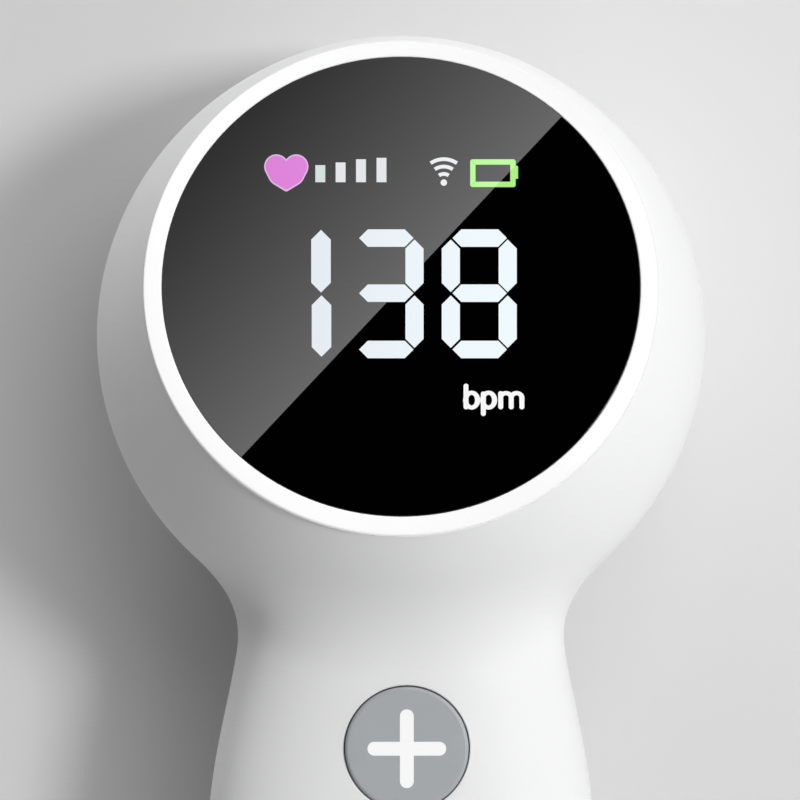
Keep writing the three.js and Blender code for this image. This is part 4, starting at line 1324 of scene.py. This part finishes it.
def make_earphone_jack():
    stand = along_body(jack_place, -jack_mouth, jack_middle)
    block = raised(plain_bar(jack_size, jack_size, jack_corner), 0, jack_length)
    bore = disc(jack_bore_radius, -jack_overrun, jack_bore_depth, small_sides, stand)
    drilled("earphone_socket", moved(block, stand), bore, "black_plastic", "earphone_jack")
    low, inner, outer = -nose_length, jack_bore_radius, nose_radius
    nose = [(inner, 0), (inner, low), (outer, low), (outer, 0), (inner, 0)]
    keep_turned("jack_nose", "black_plastic", nose, small_sides * 2, stand)
    tip, lining = low - collar_edge * 2, inner - collar_edge
    collar = [(lining, low + collar_depth), (lining, tip + collar_edge), (inner, tip),
              (outer - collar_edge, tip), (outer, tip + collar_edge), (outer, low), (inner, low),
              (inner, low + collar_depth), (lining, low + collar_depth)]
    keep_turned("jack_collar", "steel", collar, small_sides * 2, stand)


make_charging_socket()
make_earphone_jack()
print("pieces kept:", len(kept))

# %% [markdown]
# ## Finishes
# Moulded plastic, glass, foam and metal differ mostly in how their roughness drifts and how fine their
# grain is. A finish could be painted, but noise in object space needs no unwrapping and suits every piece.
# Each row gives two colours that the finish drifts between, the size of its grain, the span of its
# roughness, and how deep the grain looks. The hidden pieces wear their finishes on the CAD mesh.

# %% Finish rows
# slot: dark, light, grain mm, roughness from and to, grain depth mm, plain values
finish_rows = {
    "white_shell": ((0.875, 0.878, 0.88), (0.9, 0.9, 0.9), 0.35, 0.45, 0.55, 0.004,
                    {"Specular_IOR_Level": 0.35}),
    # Painted light: the ring's emission strength, spread over it by the ramp in make_finish
    "white_ring": ((0.815, 0.815, 0.815), (0.825, 0.825, 0.825), 2.5, 0.14, 0.2, 0.0008,
                   {"Emission_Strength": 0.27}),
    "black_glass": ((0.0002, 0.0002, 0.0003), (0.0004, 0.0004, 0.0005), 4.0, 0.002, 0.005, 0.0, {}),
    "grey_key": ((0.39, 0.41, 0.425), (0.41, 0.43, 0.443), 0.3, 0.36, 0.46, 0.004, {}),
    # Painted light: the white plastic glows a little, on top of the light the lamps give it
    "white_plastic": ((0.94, 0.94, 0.94), (0.96, 0.96, 0.96), 0.5, 0.35, 0.45, 0.002,
                      {"Emission_Color": (1, 1, 1, 1), "Emission_Strength": 0.12}),
    "black_plastic": ((0.015, 0.015, 0.016), (0.028, 0.028, 0.029), 0.4, 0.45, 0.6, 0.006, {}),
    "grey_foam": ((0.03, 0.03, 0.032), (0.075, 0.075, 0.078), 0.25, 0.85, 1.0, 0.08, {}),
    "soft_grey": ((0.34, 0.37, 0.38), (0.385, 0.41, 0.42), 0.4, 0.55, 0.7, 0.006, {}),
    "probe_window": ((0.56, 0.585, 0.61), (0.62, 0.64, 0.66), 6.0, 0.22, 0.34, 0.001, {}),
    "ceramic": ((0.42, 0.34, 0.22), (0.6, 0.56, 0.5), 0.8, 0.3, 0.5, 0.003, {"Metallic": 0.5}),
    "circuit_board": ((0.01, 0.09, 0.035), (0.03, 0.17, 0.07), 1.6, 0.2, 0.4, 0.01, {}),
    "ribbon": ((0.45, 0.2, 0.05), (0.75, 0.42, 0.14), 0.8, 0.2, 0.4, 0.002, {"Metallic": 0.6}),
    "tin_shield": ((0.5, 0.5, 0.5), (0.68, 0.68, 0.68), 0.6, 0.25, 0.45, 0.002, {"Metallic": 1.0}),
    "battery_foil": ((0.5, 0.5, 0.52), (0.7, 0.7, 0.72), 1.2, 0.3, 0.5, 0.02, {"Metallic": 0.9}),
    "lead_jacket": ((0.012, 0.012, 0.012), (0.03, 0.03, 0.03), 0.5, 0.5, 0.7, 0.01, {}),
    "steel": ((0.48, 0.48, 0.49), (0.64, 0.64, 0.65), 0.5, 0.22, 0.4, 0.002, {"Metallic": 1.0}),
}
roughness_spread = 12  # the roughness drifts over blotches this many times larger than the grain
# Painted light: the ring glows, more on the side away from the lamp, so it is as white on the shaded left as
# on the lit right
ring_painted_light_from, ring_painted_light_to = 31, -16  # millimetres along the way below, from none to all
ring_painted_light_way = (0.94, 0.34, 0)


def ramp_along(tree, start, end, way=(1, 0, 0)):
    """Goes from 0 to 1 as the place along the way goes from start to end, in millimetres."""
    return (dot(tree, place_in(tree), way) * (1 / MM) - start) * (1 / (end - start))


def make_finish(slot):
    dark, light, size, smoothest, roughest, depth, plain = finish_rows[slot]
    finish = Finish(slot, light, roughest, **plain)
    noise = grain(finish.tree, size)
    finish.drive("Base Color", tint(finish.tree, noise, dark, light))
    drift = grain(finish.tree, size * roughness_spread, detail=1.0)
    finish.drive("Roughness", drift * (roughest - smoothest) + smoothest)
    if depth:
        finish.bump(noise, depth)
    # Painted light: the ring glows from none to all along the ramp, strongest on the side away from the lamp
    if slot == "white_ring":
        ring_painted_light = ramp_along(finish.tree, ring_painted_light_from, ring_painted_light_to, ring_painted_light_way)
        finish.drive("Emission Color", tint(finish.tree, ring_painted_light, black, white))
    return finish.material


finishes = {slot: make_finish(slot) for slot in finish_rows}
print("finishes:", len(finishes))

# %% [markdown]
# ## The light of the signs
# A lit sign has a colour of its own and hardly any gloss. In the picture its colour drifts a little from
# left to right, so each sign glows along a ramp with a faint flicker in it.

# %% Lit signs and all other materials
# Sign: the light's colour at one column and at another further right, both columns, and the gloss
sign_light = {
    "number_sign": ((0.79, 0.84, 0.885), (0.865, 0.95, 0.985), 320, 480, 0.0),
    "unit_sign": ((0.92, 0.92, 0.92), (0.94, 0.94, 0.94), 460, 520, 0.0),
    "heart_rim": ((0.74, 0.5, 0.77), (0.76, 0.52, 0.79), 270, 300, 0.0),
    "heart_sign": ((0.72, 0.23, 0.69), (0.73, 0.24, 0.71), 270, 300, 0.0),
    "level_sign": ((0.665, 0.755, 0.73), (0.78, 0.8, 0.82), 322, 336, 0.0),
    "wireless_sign": ((0.85, 0.87, 0.89), (0.87, 0.89, 0.91), 430, 460, 0.0),
    "battery_sign": ((0.38, 0.88, 0.21), (0.42, 0.88, 0.24), 470, 515, 0.5),
}
sign_roughness, flicker_size, flicker_share = 0.005, 1.5, 0.1


def lit_finish(name, colour, right_colour, column, right_column, gloss):
    finish = Finish(name, black, sign_roughness, Emission_Strength=1.0, Specular_IOR_Level=gloss)
    left, right = (on_glass(place, picture_px / 2).x for place in (column, right_column))
    ramp = ramp_along(finish.tree, left, right) + grain(finish.tree, flicker_size) * flicker_share
    return finish.drive("Emission Color", tint(finish.tree, ramp, colour, right_colour)).material


def wear(piece, material):
    piece.data.materials.clear()
    piece.data.materials.append(material)
    piece.data.polygons.foreach_set("material_index", [0] * len(piece.data.polygons))


for piece, slot in kept:
    lit = piece.name in sign_light
    wear(piece, lit_finish(piece.name, *sign_light[piece.name]) if lit else finishes[slot])
for part in frame["record"]["subparts"]:
    wear(frame["nodes"][part["node"]], finishes[part["material_slot"]])

# %% [markdown]
# ## The reflection in the glass
# In the picture the glass mirrors a pale card with one straight edge, beyond which it is black. The sheen
# could be drawn into the glass, but then it would stay when the doppler turns. The card hangs where the
# camera's ray leaves the glass, square to it, and only glossy rays see it. Its light falls off away from
# the edge.

# %% Glare card
card_distance, card_size = 420, 240
card_light, card_fade, card_power = 3.4, 48, 2.2
edge_across, edge_along, edge_shift = 0.729, -0.685, -0.22  # the edge's direction and place on the glass


def add_glare_card():
    middle = sign_face @ Vector((0, 0, 0))
    facing = (sign_face.to_3x3() @ Vector((0, 0, 1))).normalized()
    away = (middle - camera_place).normalized().reflect(facing)
    side = Vector((1, 0, 0))
    turn = Matrix((side, away.cross(side), away)).transposed().to_4x4()
    card = new_piece(plain_bar(card_size, card_size), "glare_card")
    card.matrix_world = Matrix.Translation((middle + away * card_distance) * MM) @ turn
    card.visible_camera = card.visible_diffuse = card.visible_transmission = card.visible_shadow = False
    finish = Finish("card_light", black, 1.0, Emission_Strength=card_light, Specular_IOR_Level=0.0)
    scale = 1 / (MM * (1 + card_distance / camera_distance))
    way = (edge_across * scale, edge_along * scale, 0)
    past_edge = dot(finish.tree, place_in(finish.tree), way) + edge_shift
    fade = past_edge * (1 / card_fade) + 1
    shade = fade.maths("MAXIMUM", fade, 0.0) ** card_power * (past_edge < 0.0)
    finish.drive("Emission Color", tint(finish.tree, shade, black, white))
    card.data.materials.append(finish.material)
    print("glare card at", [round(c, 1) for c in middle + away * card_distance], "mm")


add_glare_card()
